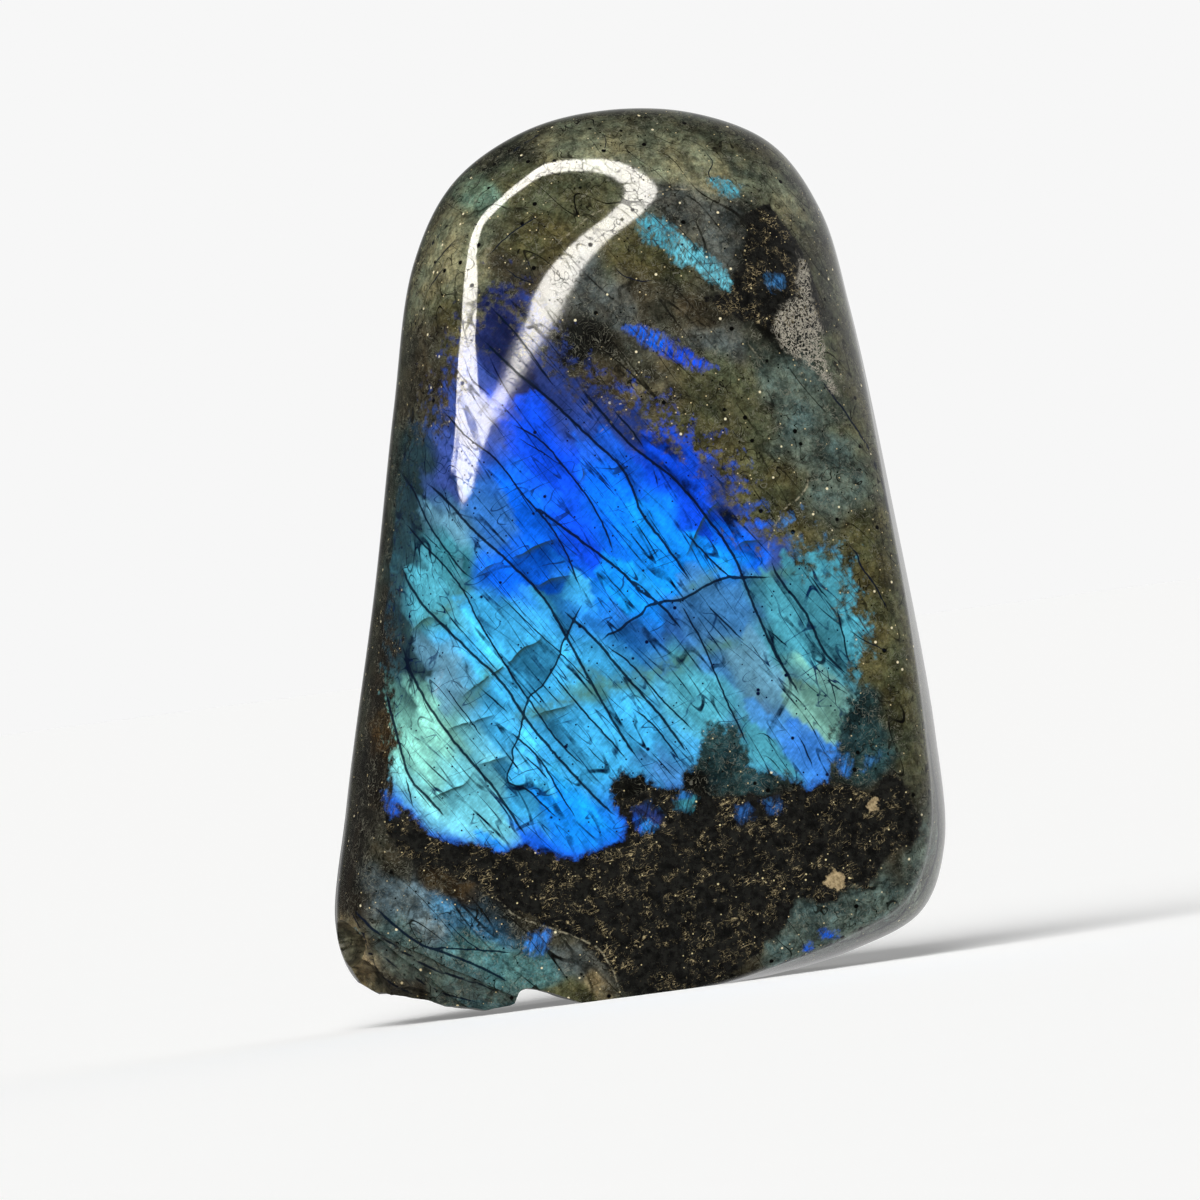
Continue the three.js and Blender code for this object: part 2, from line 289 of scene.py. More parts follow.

# Steps where the lamellae break off and the colour changes sharply with no open crack, with painted
# shade below the line and a little painted light above it: how much darker it gets below the line, how
# far that reaches in millimetres, and the line from left to right.
STEPS = [
    (0.3, 4, [(476, 576), (490, 566), (503, 561)]),
    (0.45, 4, [(511, 558), (525, 553), (537, 546), (557, 539)]),
    (0.35, 3, [(533, 585), (543, 584), (551, 579), (572, 575)]),
    (0.3, 4, [(462, 696), (476, 685), (487, 677), (502, 667), (513, 659), (522, 648), (536, 642),
              (546, 634)]),
    (0.3, 3, [(445, 730), (462, 723), (477, 719), (496, 713)]),
    (0.25, 3, [(477, 763), (493, 759), (511, 753)]),
    (0.25, 3, [(431, 798), (445, 790), (465, 782), (475, 770)]),
    (0.3, 4, [(530, 717), (543, 711), (560, 707), (575, 702)]),
    (0.6, 5, [(411, 633), (418, 625), (430, 617), (440, 620)]),
    (0.4, 4, [(734, 549), (740, 543), (751, 541), (762, 540)]),
    (0.35, 3, [(685, 558), (688, 549), (693, 538), (699, 524), (706, 513), (720, 500)]),
    (0.4, 3, [(578, 485), (583, 475), (580, 463)]),
]
# Pale scratches in the polish and gold seams along the edge of the black band.
PALE_LINES = [
    [(655, 196), (670, 192), (690, 192), (712, 194), (730, 199)],
    [(556, 248), (575, 232), (590, 220), (607, 210)],
    [(805, 470), (806, 485), (798, 498), (785, 508), (778, 518), (770, 533), (766, 555)],
    [(490, 890), (505, 903), (520, 915), (560, 928), (585, 938), (600, 948), (612, 965), (620, 990)],
    [(598, 435), (606, 428), (613, 422)],
    [(746, 346), (753, 354), (760, 362)],
    [(520, 270), (536, 258), (548, 250)],
]
LINE_SPACING = 0.42
CURVE_STEPS = 24
RAGGED = 0.07
JOGS = ((0.9, 0), (2.3, 7))  # how close together, and which layer of the noise
NOISE_SEED = 3
noise.seed_set(NOISE_SEED)


def even_steps(path, count_for):
    """Points at even steps along a path, as many as a function of its length says."""
    run = np.concatenate([[0], np.cumsum(np.hypot(*np.diff(path, axis=0).T))])
    even = np.linspace(0, run[-1], count_for(run[-1]))
    return np.column_stack([np.interp(even, run, path[:, k]) for k in (0, 1)])


def smooth_line(points):
    """An open curve through the points, even steps along it, a little ragged like a real crack."""
    knots = on_sheet(points)
    ends = np.vstack([2 * knots[0] - knots[1], knots, 2 * knots[-1] - knots[-2]])
    t = np.linspace(0, 1, CURVE_STEPS, endpoint=False)[:, None]
    spans = zip(ends, ends[1:], ends[2:], ends[3:])
    path = [eased(b, (c - a) / 2, c, (d - b) / 2, t) for a, b, c, d in spans]
    path = np.vstack([*path, knots[-1:]])
    line = even_steps(path, lambda length: max(3, round(length / LINE_SPACING) + 1))
    for point in line[1:-1]:
        shakes = [noise.noise_vector(Vector((*point, layer)) * size) for size, layer in JOGS]
        point += np.array(sum(shakes, Vector()))[:2] * RAGGED
    return line


def across(line):
    """The unit vector to the left of a line at each of its points."""
    along = np.gradient(line, axis=0)
    along /= np.hypot(*along.T)[:, None]
    return np.column_stack([-along[:, 1], along[:, 0]])


cracks = [(half, lift, smooth_line(points)) for half, lift, points in CRACKS]
steps = [(drop, fade, smooth_line(points)) for drop, fade, points in STEPS]
pale_lines = [smooth_line(points) for points in PALE_LINES]


# The fine mesh of the stone: rings of points up its sides, and a close even net over each face
# that has a row of points down the middle of every crack and one along each of its sides.
COLUMNS = 560
SIDE_RINGS = 18
NET_START = 0.12
EDGE_ROWS = (0.14, 0.32, 0.54, 0.8, 1.1, 1.45)
FRONT_NET, BACK_NET = 0.42, 0.95
STEP_HALF = 0.05
SEAM_REACH = 7
CLEAR = 0.2
RIM_CLEAR = 0.25
NET_CLEAR = 0.6

column_angles = np.arange(COLUMNS) * 360 / COLUMNS


def ring_plan(angles, inset):
    reach = outline_reach(angles) - inset
    turn = np.radians(angles)
    return CENTRE + np.column_stack([np.cos(turn), np.sin(turn)]) * reach[:, None]


def net_start(face, angles):
    """How far in from the outline the net of a face starts."""
    roll, _, lean = edge_shape(face, angles)
    return lean + NET_START * roll


def side_rings(face):
    """The rings from the widest line up to where the net of the face starts, as rows of points."""
    roll, wall, lean = edge_shape(face, column_angles)
    top = wall + (1 - wall) * (1 - (1 - NET_START) ** ROLL_POWER) ** (1 / ROLL_POWER)
    rows = []
    for k in range(SIDE_RINGS + 1):
        rise = top * k / SIDE_RINGS
        above = np.clip((rise - wall) / (1 - wall), 0, 1)
        rolled = lean + roll * (1 - (1 - above**ROLL_POWER) ** (1 / ROLL_POWER))
        upright = lean * (rise / np.maximum(wall, 1e-6)) ** WALL_POWER
        plan = ring_plan(column_angles, np.where(rise <= wall, upright, rolled))
        y = WIDEST_Y + face["side"] * rise * dome(face, plan)
        rows.append(np.column_stack([plan[:, 0], y, plan[:, 1]]))
    return np.array(rows)


def net_points(face, spacing, lines):
    """Points of the face's net as x and z, and the edges that have to lie in it."""
    start = net_start(face, column_angles)
    rim_ring = ring_plan(column_angles, start)
    fixed, edges, near, count = [rim_ring], [], [], COLUMNS
    for half, line in lines:
        angles, inset = polar(line)
        kept = inset > net_start(face, angles) + half + RIM_CLEAR
        line, side = line[kept], across(line)[kept] * half
        if len(line) < 2:
            continue
        if half == STEP_HALF:
            fixed += [line - side, line + side, line - side * SEAM_REACH]
        else:
            fixed += [line, line - side, line + side]
            edges += [(count + k, count + k + 1) for k in range(len(line) - 1)]
        count += 3 * len(line)
        near.append((half + CLEAR, line))
    low, high = rim_ring.min(0), rim_ring.max(0)
    net = np.array([
        (x, z) for k, z in enumerate(np.arange(low[1], high[1], spacing * math.sqrt(3) / 2))
        for x in np.arange(low[0] + k % 2 * spacing / 2, high[0], spacing)
    ])
    angles, inset = polar(net)
    net = net[inset > net_start(face, angles) + EDGE_ROWS[-1] + spacing * NET_CLEAR]
    loose = np.vstack([net] + [ring_plan(column_angles, start + row) for row in EDGE_ROWS])
    for clear, line in near:
        inside = np.where(np.all((loose > line.min(0) - clear) & (loose < line.max(0) + clear), axis=1))[0]
        if len(inside):
            gap = line_distance(loose[inside], line)[0]
            loose = np.delete(loose, inside[gap < clear], axis=0)
    return np.vstack(fixed + [loose]), edges


def line_distance(points, line):
    """For each point its distance to the line, on which side it is, and how far along it lies."""
    a, b = line[:-1], line[1:]
    along = b - a
    offset = points[:, None, :] - a[None]
    t = np.clip((offset * along).sum(2) / (along**2).sum(1), 0, 1)
    gap = offset - t[..., None] * along
    distance = np.hypot(gap[..., 0], gap[..., 1])
    k = distance.argmin(1)
    row = np.arange(len(points))
    side = along[k, 0] * gap[row, k, 1] - along[k, 1] * gap[row, k, 0]
    return distance[row, k], np.sign(side), (k + t[row, k]) / len(a)


def face_net(face, spacing, lines):
    """The net of a face laid on the polished surface, as points and triangles that face outwards."""
    plan, edges = net_points(face, spacing, lines)
    rim_loop = list(range(COLUMNS))
    made = delaunay_2d_cdt([Vector(p) for p in plan], edges, [rim_loop], 1, 1e-6, False)
    plan = np.array([tuple(v) for v in made[0]])
    angles, inset = polar(plan)
    on_rim = inset < net_start(face, angles) + EDGE_ROWS[0] / 2
    triangles = np.array(made[2])
    triangles = triangles[~on_rim[triangles].all(axis=1)]
    points = on_face(face, plan)
    a, b, c = (points[triangles[:, k]] for k in range(3))
    outwards = np.cross(b - a, c - a)[:, 1] * face["side"] > 0
    triangles[~outwards] = triangles[~outwards][:, ::-1]
    return points, triangles


def rounded_stone():
    points, triangles, count = [], [], 0
    lines = [(half, line) for half, _, line in cracks] + [(STEP_HALF, line) for _, _, line in steps]
    lines += [(HAIR, line) for line in pale_lines]
    for face, spacing, drawn in ((FRONT, FRONT_NET, lines), (BACK, BACK_NET, [])):
        rings = side_rings(face)
        index = count + np.arange(rings.shape[0] * COLUMNS).reshape(-1, COLUMNS)
        here, above = index[:-1], index[1:]
        beside, beyond = np.roll(here, -1, axis=1), np.roll(above, -1, axis=1)
        quads = [np.stack([here, beside, beyond], -1), np.stack([here, beyond, above], -1)]
        sides = np.concatenate([q.reshape(-1, 3) for q in quads])
        triangles.append(sides if face is FRONT else sides[:, ::-1])
        points.append(rings.reshape(-1, 3))
        count += index.size
        net, net_triangles = face_net(face, spacing, drawn)
        points.append(net)
        triangles.append(net_triangles + count)
        count += len(net)
    mesh = bpy.data.meshes.new("rounded_stone")
    mesh.from_pydata((np.vstack(points) * MM).tolist(), [], np.vstack(triangles).tolist())
    work = bmesh.new()
    work.from_mesh(mesh)
    bmesh.ops.remove_doubles(work, verts=work.verts, dist=2e-6)
    work.to_mesh(mesh)
    work.free()
    return mesh


# The sawn base and the broken lower left corner, cut from the rounded stone: the broken
# underside, two cleavage ledges across the front, and shell-shaped scoops.
BASE_SAW = 124
BREAK_LINE = [
    (-8.3, 0), (-9.6, 0.7), (-11.7, 1.7), (-13.4, 2.1), (-14.3, 1.9), (-15, 0.8), (-17.9, 0.5),
    (-21.5, 1.4), (-23.3, 2.4), (-27.6, 3.4), (-29.9, 5), (-31.6, 9.5),
]
BREAK_ROOM = 6
BREAK_SLEW = math.radians(4)
LEDGES = [
    {"point": (-17.4, 3.6), "heading": 32, "y": -11.4, "tilt": 3},
    {"point": (-21.4, 3.7), "heading": 45, "y": -10.4, "tilt": 5},
]
LEDGE_SIZE = 24
LEDGE_CUTS = 79
SCOOPS = [
    {"middle": (-33.2, -7.6, 8.6), "half": (5.6, 6.5, 3.1)},
    {"middle": (-32.4, -9.6, 3.6), "half": (6.2, 6, 4.6)},
    {"middle": (-25.4, -12.4, 1.2), "half": (4.6, 4.2, 3.2)},
    {"middle": (-31, 3.5, 1.5), "half": (6.5, 8, 4.2)},
    {"middle": (-21, 10, 0.2), "half": (7, 6.5, 2.4)},
]
SCOOP_RINGS = (0.012, 34)  # height as a share of the scoop's size, and how close together
CUT_NET = 0.5
CUT_REACH = 24
FINISHES = 2

# The grain of each broken face: lump sizes and how high they stand, in millimetres.
UNDERSIDE_GRAIN = ((2.4, 0.22), (0.8, 0.08))
LEDGE_GRAIN = ((3.1, 0.16), (1.0, 0.05))
SCOOP_GRAIN = ((2.0, 0.1),)


def hackle(point, grain):
    """The roughness of a broken face: a small shift of a point, the same every run."""
    return sum((noise.noise_vector(Vector(point) / size) * height for size, height in grain), Vector())


def cutter(name, work, broken):
    """A closed tool that takes stone away; what it leaves is broken, or sawn and polished."""
    bmesh.ops.recalc_face_normals(work, faces=work.faces)
    for face in work.faces:
        face.material_index = int(broken)
    for vert in work.verts:
        vert.co *= MM
    mesh = bpy.data.meshes.new(name)
    work.to_mesh(mesh)
    work.free()
    for _ in range(FINISHES):
        mesh.materials.append(None)
    return placed(name, mesh)


def base_cutter():
    work = bmesh.new()
    bmesh.ops.create_cube(work, size=BASE_SAW, matrix=Matrix.Translation((0, 0, -BASE_SAW / 2)))
    return cutter("base_saw", work, False)


def break_cutter():
    """What is missing below the broken line, as rows of that line from front to back."""
    corner_x, corner_z = BREAK_LINE[-1]
    knots = np.array(BREAK_LINE, float)
    edge = even_steps(knots, lambda length: round(length / CUT_NET))
    around = [(corner_x - BREAK_ROOM, corner_z + BREAK_ROOM), (corner_x - BREAK_ROOM, -BREAK_ROOM),
              (BREAK_LINE[0][0], -BREAK_ROOM)]
    loop = np.vstack([edge, around])
    start = Vector((BREAK_LINE[0][0], 0, 0))
    turn = Matrix.Translation(start) @ Matrix.Rotation(BREAK_SLEW, 4, "Z") @ Matrix.Translation(-start)
    work = bmesh.new()
    rows = []
    for y in np.arange(-CUT_REACH, CUT_REACH + CUT_NET, 2 * CUT_NET):
        row = []
        for k, (x, z) in enumerate(loop):
            point = Vector((x, y, z))
            if 0 < k < len(edge):
                point += hackle(point, UNDERSIDE_GRAIN)
            row.append(work.verts.new(turn @ point))
        rows.append(row)
    for here, there in zip(rows, rows[1:]):
        for k in range(len(loop)):
            work.faces.new((here[k - 1], here[k], there[k], there[k - 1]))
    work.faces.new(rows[0])
    work.faces.new(rows[-1])
    return cutter("broken_underside", work, True)


def ledge_cutter(number, ledge):
    """A block whose one face is the cleavage plane that a ledge leaves across the front."""
    work = bmesh.new()
    size = LEDGE_SIZE
    place = (
        Matrix.Translation((ledge["point"][0], ledge["y"], ledge["point"][1]))
        @ Matrix.Rotation(math.radians(ledge["heading"]), 4, "Y")
        @ Matrix.Rotation(math.radians(ledge["tilt"]), 4, "X")
        @ Matrix.Translation((0, -size / 2, -size / 2))
    )
    bmesh.ops.create_cube(work, size=1, matrix=Matrix.Diagonal((2 * size, size, size, 1)))
    bmesh.ops.subdivide_edges(work, edges=work.edges, cuts=LEDGE_CUTS, use_grid_fill=True)
    for vert in work.verts:
        vert.co = place @ vert.co + hackle(place @ vert.co, LEDGE_GRAIN)
    return cutter(f"ledge_{number}", work, True)


def scoop_cutter(number, scoop):
    """A shell-shaped scoop, with the faint rings that a blow leaves round its middle."""
    work = bmesh.new()
    bmesh.ops.create_icosphere(work, subdivisions=5, radius=1)
    height, waves = SCOOP_RINGS
    for vert in work.verts:
        rings = 1 + height * math.sin(math.acos(max(-1, min(1, vert.co.z))) * waves)
        vert.co = Vector(np.array(vert.co) * scoop["half"] * rings + scoop["middle"])
        vert.co += hackle(vert.co, SCOOP_GRAIN)
    return cutter(f"scoop_{number}", work, True)


rounded = placed("rounded_stone", rounded_stone())
for _ in range(FINISHES):
    rounded.data.materials.append(None)
tools = [base_cutter(), break_cutter()]
tools += [ledge_cutter(k, ledge) for k, ledge in enumerate(LEDGES)]
tools += [scoop_cutter(k, scoop) for k, scoop in enumerate(SCOOPS)]
for tool in tools:
    cut = rounded.modifiers.new(tool.name, "BOOLEAN")
    cut.operation = "DIFFERENCE"
    cut.solver = "MANIFOLD"
    cut.object = tool
graph = bpy.context.evaluated_depsgraph_get()
stone_mesh = bpy.data.meshes.new_from_object(rounded.evaluated_get(graph))
for spare in [rounded, *tools]:
    bpy.data.objects.remove(spare)

# Where the colours lie. The blue flash is light thrown back by lamellae inside the feldspar; here it is
# a painted reflection, laid into the stone's colour and not made as a shape. Each outline is drawn on the
# same sheet as the cracks.
FLASH_OUTLINE = [
    (495, 300), (520, 300), (540, 345), (568, 375), (590, 395), (625, 408), (655, 430), (700, 453),
    (724, 480), (722, 497), (746, 520), (756, 535), (782, 541), (800, 563), (824, 555), (838, 572),
    (847, 607), (862, 636), (853, 662), (850, 678), (845, 705), (830, 728), (831, 752), (824, 777),
    (806, 785), (788, 772), (757, 768), (748, 757), (738, 722), (712, 722), (692, 757), (680, 783),
    (665, 786), (640, 772), (620, 770), (612, 780), (612, 800), (626, 825), (618, 840), (580, 853),
    (545, 852), (532, 840), (520, 843), (505, 850), (470, 841), (430, 831), (412, 808), (395, 800),
    (395, 760), (398, 735), (392, 670), (397, 640), (385, 600), (383, 560), (385, 520), (395, 490),
    (400, 450), (440, 420), (455, 385), (465, 360), (480, 315),
]
STRAY_FLASHES = [
    [(634, 222), (650, 219), (665, 224), (680, 238), (692, 249), (705, 257), (718, 267), (728, 282),
     (726, 292), (712, 284), (700, 273), (690, 268), (676, 266), (668, 254), (652, 248), (642, 238)],
    [(708, 182), (725, 180), (738, 188), (740, 195), (730, 198), (718, 196)],
    [(622, 329), (640, 328), (660, 338), (690, 353), (714, 370), (700, 373), (672, 362), (642, 345)],
    [(522, 938), (535, 932), (545, 926), (551, 931), (550, 940), (544, 943), (543, 953), (530, 951)],
    [(387, 790), (393, 798), (400, 811), (394, 815), (386, 803)],
    [(835, 757), (843, 752), (849, 760), (847, 774), (838, 773)],
    [(860, 770), (867, 757), (879, 754), (868, 766)],
    [(675, 793), (688, 789), (694, 797), (688, 809), (676, 807)],
    [(733, 807), (747, 803), (752, 813), (738, 820)],
    [(752, 741), (772, 736), (778, 751), (763, 763), (751, 756)],
    [(636, 806), (650, 802), (662, 812), (658, 824), (642, 830), (632, 818)],
    [(762, 800), (775, 796), (782, 806), (770, 812)],
    [(742, 181), (760, 179), (763, 187), (745, 188)],
    [(766, 278), (782, 280), (781, 291), (768, 289)],
    [(803, 942), (809, 941), (809, 948), (803, 948)],
    [(820, 930), (835, 929), (834, 935), (822, 936)],
    [(342, 928), (351, 926), (362, 934), (361, 941), (350, 939)],
    [(342, 947), (352, 945), (361, 948), (359, 953), (349, 951)],
]
DARK_OUTLINES = [
    [(380, 806), (412, 818), (440, 838), (500, 844), (560, 846), (610, 832), (622, 798), (650, 786),
     (690, 796), (760, 792), (820, 782), (870, 788), (893, 770), (905, 785), (915, 810), (922, 840),
     (905, 848), (885, 852), (875, 875), (865, 890), (850, 885), (825, 905), (795, 897), (785, 925),
     (757, 950), (725, 975), (700, 986), (622, 992), (610, 965), (580, 940), (545, 920), (505, 905),
     (480, 885), (440, 868), (400, 858)],
    [(742, 215), (770, 205), (800, 240), (812, 262), (822, 300), (815, 335), (770, 330), (725, 318),
     (700, 300), (722, 295), (732, 275), (745, 262)],
]
CHIPS = [
    [(864, 802), (869, 798), (873, 794), (878, 799), (874, 803), (877, 808), (871, 812), (867, 808)],
    [(822, 878), (826, 874), (832, 868), (838, 871), (844, 870), (842, 877), (845, 881), (836, 889),
     (831, 884), (827, 887)],
    [(787, 184), (792, 180), (796, 188), (794, 194), (799, 203), (792, 204), (788, 196)],
]
SPARKLE_OUTLINE = [(800, 248), (812, 262), (810, 300), (820, 330), (826, 370), (838, 398), (815, 375),
                   (785, 352), (772, 330), (778, 312), (796, 298)]

# The colours of the flash and of the stone round it, and the broad strokes that they are laid in:
# from one sheet point to another, and for how many millimetres a stroke holds.
FLASH_COLOURS = {
    "night": "1c2450", "indigo": "283a7a", "violet": "34488c", "royal": "0c48dc", "azure": "0a66f4",
    "sky": "128afa", "cyan": "46bcfa", "ice": "74d2e6", "mint": "8cd8c8", "teal": "4a9cb0",
    "steel": "3f7cb4", "haze": "5888a0", "sea": "357e8c", "slate": "23383e", "dusk": "255390",
    "umber": "4e6468", "denim": "3474c4", "fern": "6c9c90",
}
FLASH_STROKES = [
    (498, 312, 518, 366, 2.4, "night"), (530, 340, 572, 398, 2.2, "indigo"),
    (600, 410, 652, 446, 1.8, "indigo"), (474, 396, 492, 440, 1.6, "violet"),
    (452, 420, 446, 470, 1.6, "violet"), (520, 420, 562, 462, 2.4, "royal"),
    (566, 404, 596, 450, 2.0, "indigo"), (592, 440, 622, 520, 2.2, "azure"),
    (652, 456, 700, 520, 2.4, "royal"), (706, 472, 722, 496, 1.4, "indigo"),
    (638, 500, 672, 560, 2.4, "sky"), (690, 540, 722, 562, 1.8, "sky"),
    (722, 520, 744, 558, 1.6, "azure"), (748, 538, 776, 560, 1.4, "violet"),
    (482, 500, 502, 540, 1.8, "denim"), (506, 498, 540, 540, 2.0, "azure"),
    (442, 524, 458, 556, 1.5, "haze"), (402, 470, 408, 560, 2.4, "slate"),
    (400, 440, 424, 470, 1.6, "slate"), (412, 560, 438, 612, 2.2, "teal"),
    (444, 552, 470, 572, 1.6, "sea"), (504, 566, 528, 600, 2.2, "azure"),
    (540, 560, 562, 590, 1.6, "azure"), (574, 528, 600, 570, 1.8, "royal"),
    (592, 560, 640, 608, 2.2, "sky"), (556, 606, 578, 584, 1.2, "cyan"),
    (500, 612, 556, 672, 2.8, "cyan"), (462, 640, 520, 692, 2.6, "cyan"),
    (432, 650, 450, 700, 1.6, "haze"), (398, 616, 412, 690, 1.8, "slate"),
    (420, 712, 448, 772, 2.2, "mint"), (455, 770, 492, 826, 2.4, "ice"),
    (560, 700, 604, 760, 2.8, "cyan"), (572, 690, 640, 682, 1.2, "teal"),
    (612, 706, 640, 740, 1.8, "cyan"), (636, 612, 684, 640, 2.0, "dusk"),
    (680, 630, 704, 660, 1.6, "steel"), (688, 664, 704, 702, 1.6, "teal"),
    (720, 592, 746, 622, 2.0, "steel"), (736, 640, 762, 680, 2.0, "haze"),
    (746, 684, 764, 700, 0.8, "umber"), (774, 590, 800, 640, 2.2, "teal"),
    (812, 570, 832, 622, 1.8, "teal"), (802, 660, 812, 676, 0.8, "mint"),
    (842, 612, 850, 652, 1.2, "teal"), (800, 702, 830, 722, 1.6, "fern"),
    (762, 702, 782, 722, 1.6, "steel"), (752, 744, 774, 758, 1.1, "teal"),
    (792, 732, 824, 770, 1.8, "denim"), (640, 748, 664, 772, 1.4, "steel"),
    (560, 802, 602, 840, 2.4, "sky"), (516, 800, 552, 790, 1.8, "cyan"),
    (524, 836, 546, 848, 1.4, "azure"), (470, 838, 508, 848, 1.2, "sky"),
    (392, 560, 388, 600, 1.2, "slate"), (640, 230, 676, 250, 1.6, "teal"),
    (690, 256, 720, 284, 1.2, "ice"), (712, 186, 736, 192, 1.0, "teal"),
    (746, 184, 760, 184, 0.8, "azure"), (630, 332, 648, 338, 1.0, "azure"),
    (660, 346, 706, 370, 1.2, "royal"), (532, 942, 548, 932, 1.0, "denim"),
    (388, 798, 396, 808, 0.9, "denim"), (842, 756, 842, 772, 0.9, "sky"),
    (864, 764, 876, 758, 0.8, "steel"), (680, 798, 690, 800, 0.9, "sea"),
    (742, 812, 776, 806, 0.8, "dusk"), (646, 812, 656, 818, 0.8, "indigo"),
    (772, 284, 778, 284, 0.7, "steel"), (806, 944, 832, 932, 0.8, "azure"),
    (346, 932, 358, 936, 0.7, "ice"), (344, 949, 358, 950, 0.5, "mint"),
]
STONE_COLOURS = {
    "ash": "74745e", "moss": "4a4b37", "olive": "48462f", "bark": "38342a", "soot": "171714",
    "pitch": "10110f", "sage": "4a5856", "lichen": "5a7468", "sand": "80745a", "umber": "3a2e1e",
    "slate": "1e2e30", "teal": "44585a", "steel": "447498", "sea": "4c7478", "dove": "5e707c",
    "flint": "484b4a", "shadow": "1f1c18", "clay": "786c56", "lagoon": "22393e",
}
STONE_STROKES = [
    # The pale "ash" strokes along the top are partly the stone's grey and partly a painted reflection of the
    # pale surroundings where the top curves away.
    (560, 122, 720, 130, 3.4, "ash"), (742, 150, 796, 182, 3.0, "ash"), (590, 150, 690, 160, 3.0, "ash"),
    (496, 158, 540, 148, 1.3, "pitch"), (462, 204, 486, 192, 1.4, "lichen"),
    (450, 226, 428, 300, 2.8, "ash"), (520, 196, 610, 200, 3.0, "moss"),
    (552, 236, 520, 250, 2.0, "olive"), (500, 262, 532, 286, 1.5, "bark"),
    (432, 320, 420, 400, 2.6, "bark"), (440, 300, 450, 340, 1.6, "olive"),
    # The "shadow" strokes down the left edge are painted shade, where that side turns away from the light.
    (398, 462, 388, 560, 2.0, "slate"), (378, 620, 364, 720, 2.0, "shadow"),
    (356, 760, 350, 900, 2.4, "shadow"), (384, 720, 392, 742, 0.9, "umber"),
    (622, 246, 668, 272, 2.0, "olive"), (590, 286, 628, 312, 1.8, "flint"),
    (574, 340, 600, 348, 1.6, "pitch"), (648, 304, 700, 318, 1.8, "bark"),
    (662, 198, 730, 240, 2.6, "flint"), (744, 236, 792, 324, 3.0, "pitch"),
    (700, 334, 724, 346, 1.2, "flint"), (636, 388, 656, 392, 1.1, "sand"),
    (596, 368, 676, 402, 1.9, "bark"), (700, 384, 742, 412, 2.4, "moss"),
    (702, 434, 784, 512, 3.2, "olive"), (790, 400, 832, 486, 3.0, "sage"),
    (852, 350, 872, 450, 2.4, "moss"), (834, 226, 852, 300, 2.2, "moss"),
    (806, 186, 822, 210, 1.6, "ash"), (728, 160, 748, 170, 1.4, "slate"),
    (866, 530, 892, 700, 2.6, "olive"), (906, 570, 928, 750, 2.4, "moss"),
    (884, 806, 900, 860, 2.0, "bark"), (912, 860, 880, 912, 2.6, "sage"),
    (830, 926, 776, 944, 2.4, "sage"), (738, 966, 756, 958, 1.2, "bark"),
    (850, 700, 872, 762, 1.7, "lagoon"), (704, 736, 740, 784, 1.9, "lagoon"),
    (620, 800, 692, 786, 1.5, "pitch"), (430, 852, 860, 826, 3.0, "soot"),
    (520, 900, 740, 880, 3.6, "soot"), (640, 940, 720, 950, 3.0, "soot"),
    (430, 872, 468, 886, 1.4, "umber"), (388, 850, 400, 880, 1.8, "bark"),
    (396, 886, 424, 898, 1.8, "dove"), (434, 908, 496, 930, 1.9, "steel"),
    (420, 916, 436, 934, 1.1, "dove"), (470, 948, 544, 968, 1.8, "sea"),
    (400, 944, 450, 982, 1.8, "teal"), (520, 910, 560, 934, 1.5, "bark"),
    (556, 950, 592, 966, 1.7, "flint"), (480, 988, 520, 996, 1.6, "teal"),
    (548, 984, 584, 990, 1.3, "olive"), (586, 980, 600, 986, 0.9, "sand"),
    (346, 922, 356, 932, 1.1, "clay"), (346, 954, 372, 984, 1.4, "clay"),
    (384, 984, 424, 994, 1.1, "bark"),
]
BACK_TONE = "4a4d40"
DEEP_FRINGE = "1a58d6"
CRACK_COURSE = math.radians(-57.5)

# Soft olive bands that cross the flash from the lower left: half width, and the line.
VEILS = [
    (0.8, [(446, 726), (470, 700), (495, 668), (510, 660)]),
    (0.9, [(505, 722), (545, 708), (593, 690), (640, 676), (705, 655)]),
    (0.6, [(558, 675), (590, 672), (618, 690)]),
    (0.7, [(745, 580), (770, 574), (800, 570)]),
    (0.6, [(405, 634), (432, 620), (460, 600), (478, 584)]),
    (0.6, [(640, 655), (672, 662), (704, 648), (748, 640)]),
    (0.5, [(672, 596), (696, 585), (716, 570), (732, 562)]),
    (0.6, [(790, 700), (812, 690), (836, 700)]),
]


def linear(code):
    """An sRGB hex colour as linear red, green and blue."""
    parts = [int(code[k:k + 2], 16) / 255 for k in (0, 2, 4)]
    return np.array([c / 12.92 if c <= 0.04045 else ((c + 0.055) / 1.055) ** 2.4 for c in parts])


def inside_by(outline, points):
    """How far inside a closed outline each point lies, in millimetres; negative is outside."""
    loop = on_sheet(outline)
    closed = np.vstack([loop, loop[:1]])
    distance = line_distance(points, closed)[0]
    a, b = closed[:-1], closed[1:]
    x, z = points[:, :1], points[:, 1:]
    spans = (a[:, 1] > z) != (b[:, 1] > z)
    rise = np.where(b[:, 1] == a[:, 1], 1, b[:, 1] - a[:, 1])
    crossings = spans & (x < (b[:, 0] - a[:, 0]) * (z - a[:, 1]) / rise + a[:, 0])
    return np.where(crossings.sum(1) % 2 == 1, distance, -distance)


STROKE_POWER, STROKE_HEART = 4.2, 0.03


def blended(strokes, colours, points):
    """The colour of each point, from the strokes that lie nearest."""
    total = np.zeros((len(points), 3))
    weights = np.zeros(len(points))
    for *ends, reach, name in strokes:
        distance = line_distance(points, on_sheet(ends))[0] / reach
        weight = 1 / (distance**STROKE_POWER + STROKE_HEART)
        total += weight[:, None] * linear(colours[name])
        weights += weight
    return total / weights[:, None]


def shaken(points, size, amount):
    """The points shifted by a smooth noise, so that what is drawn on them has natural edges."""
    shifts = [noise.noise_vector(Vector((x / size, 0, z / size))) for x, z in points]
    return points + np.array([(s.x, s.y) for s in shifts]) * amount


PLATE_LENGTH, PLATE_WIDTH = 7.5, 1.7
PLATE_GRID = 64
PLATE_SEED = 5


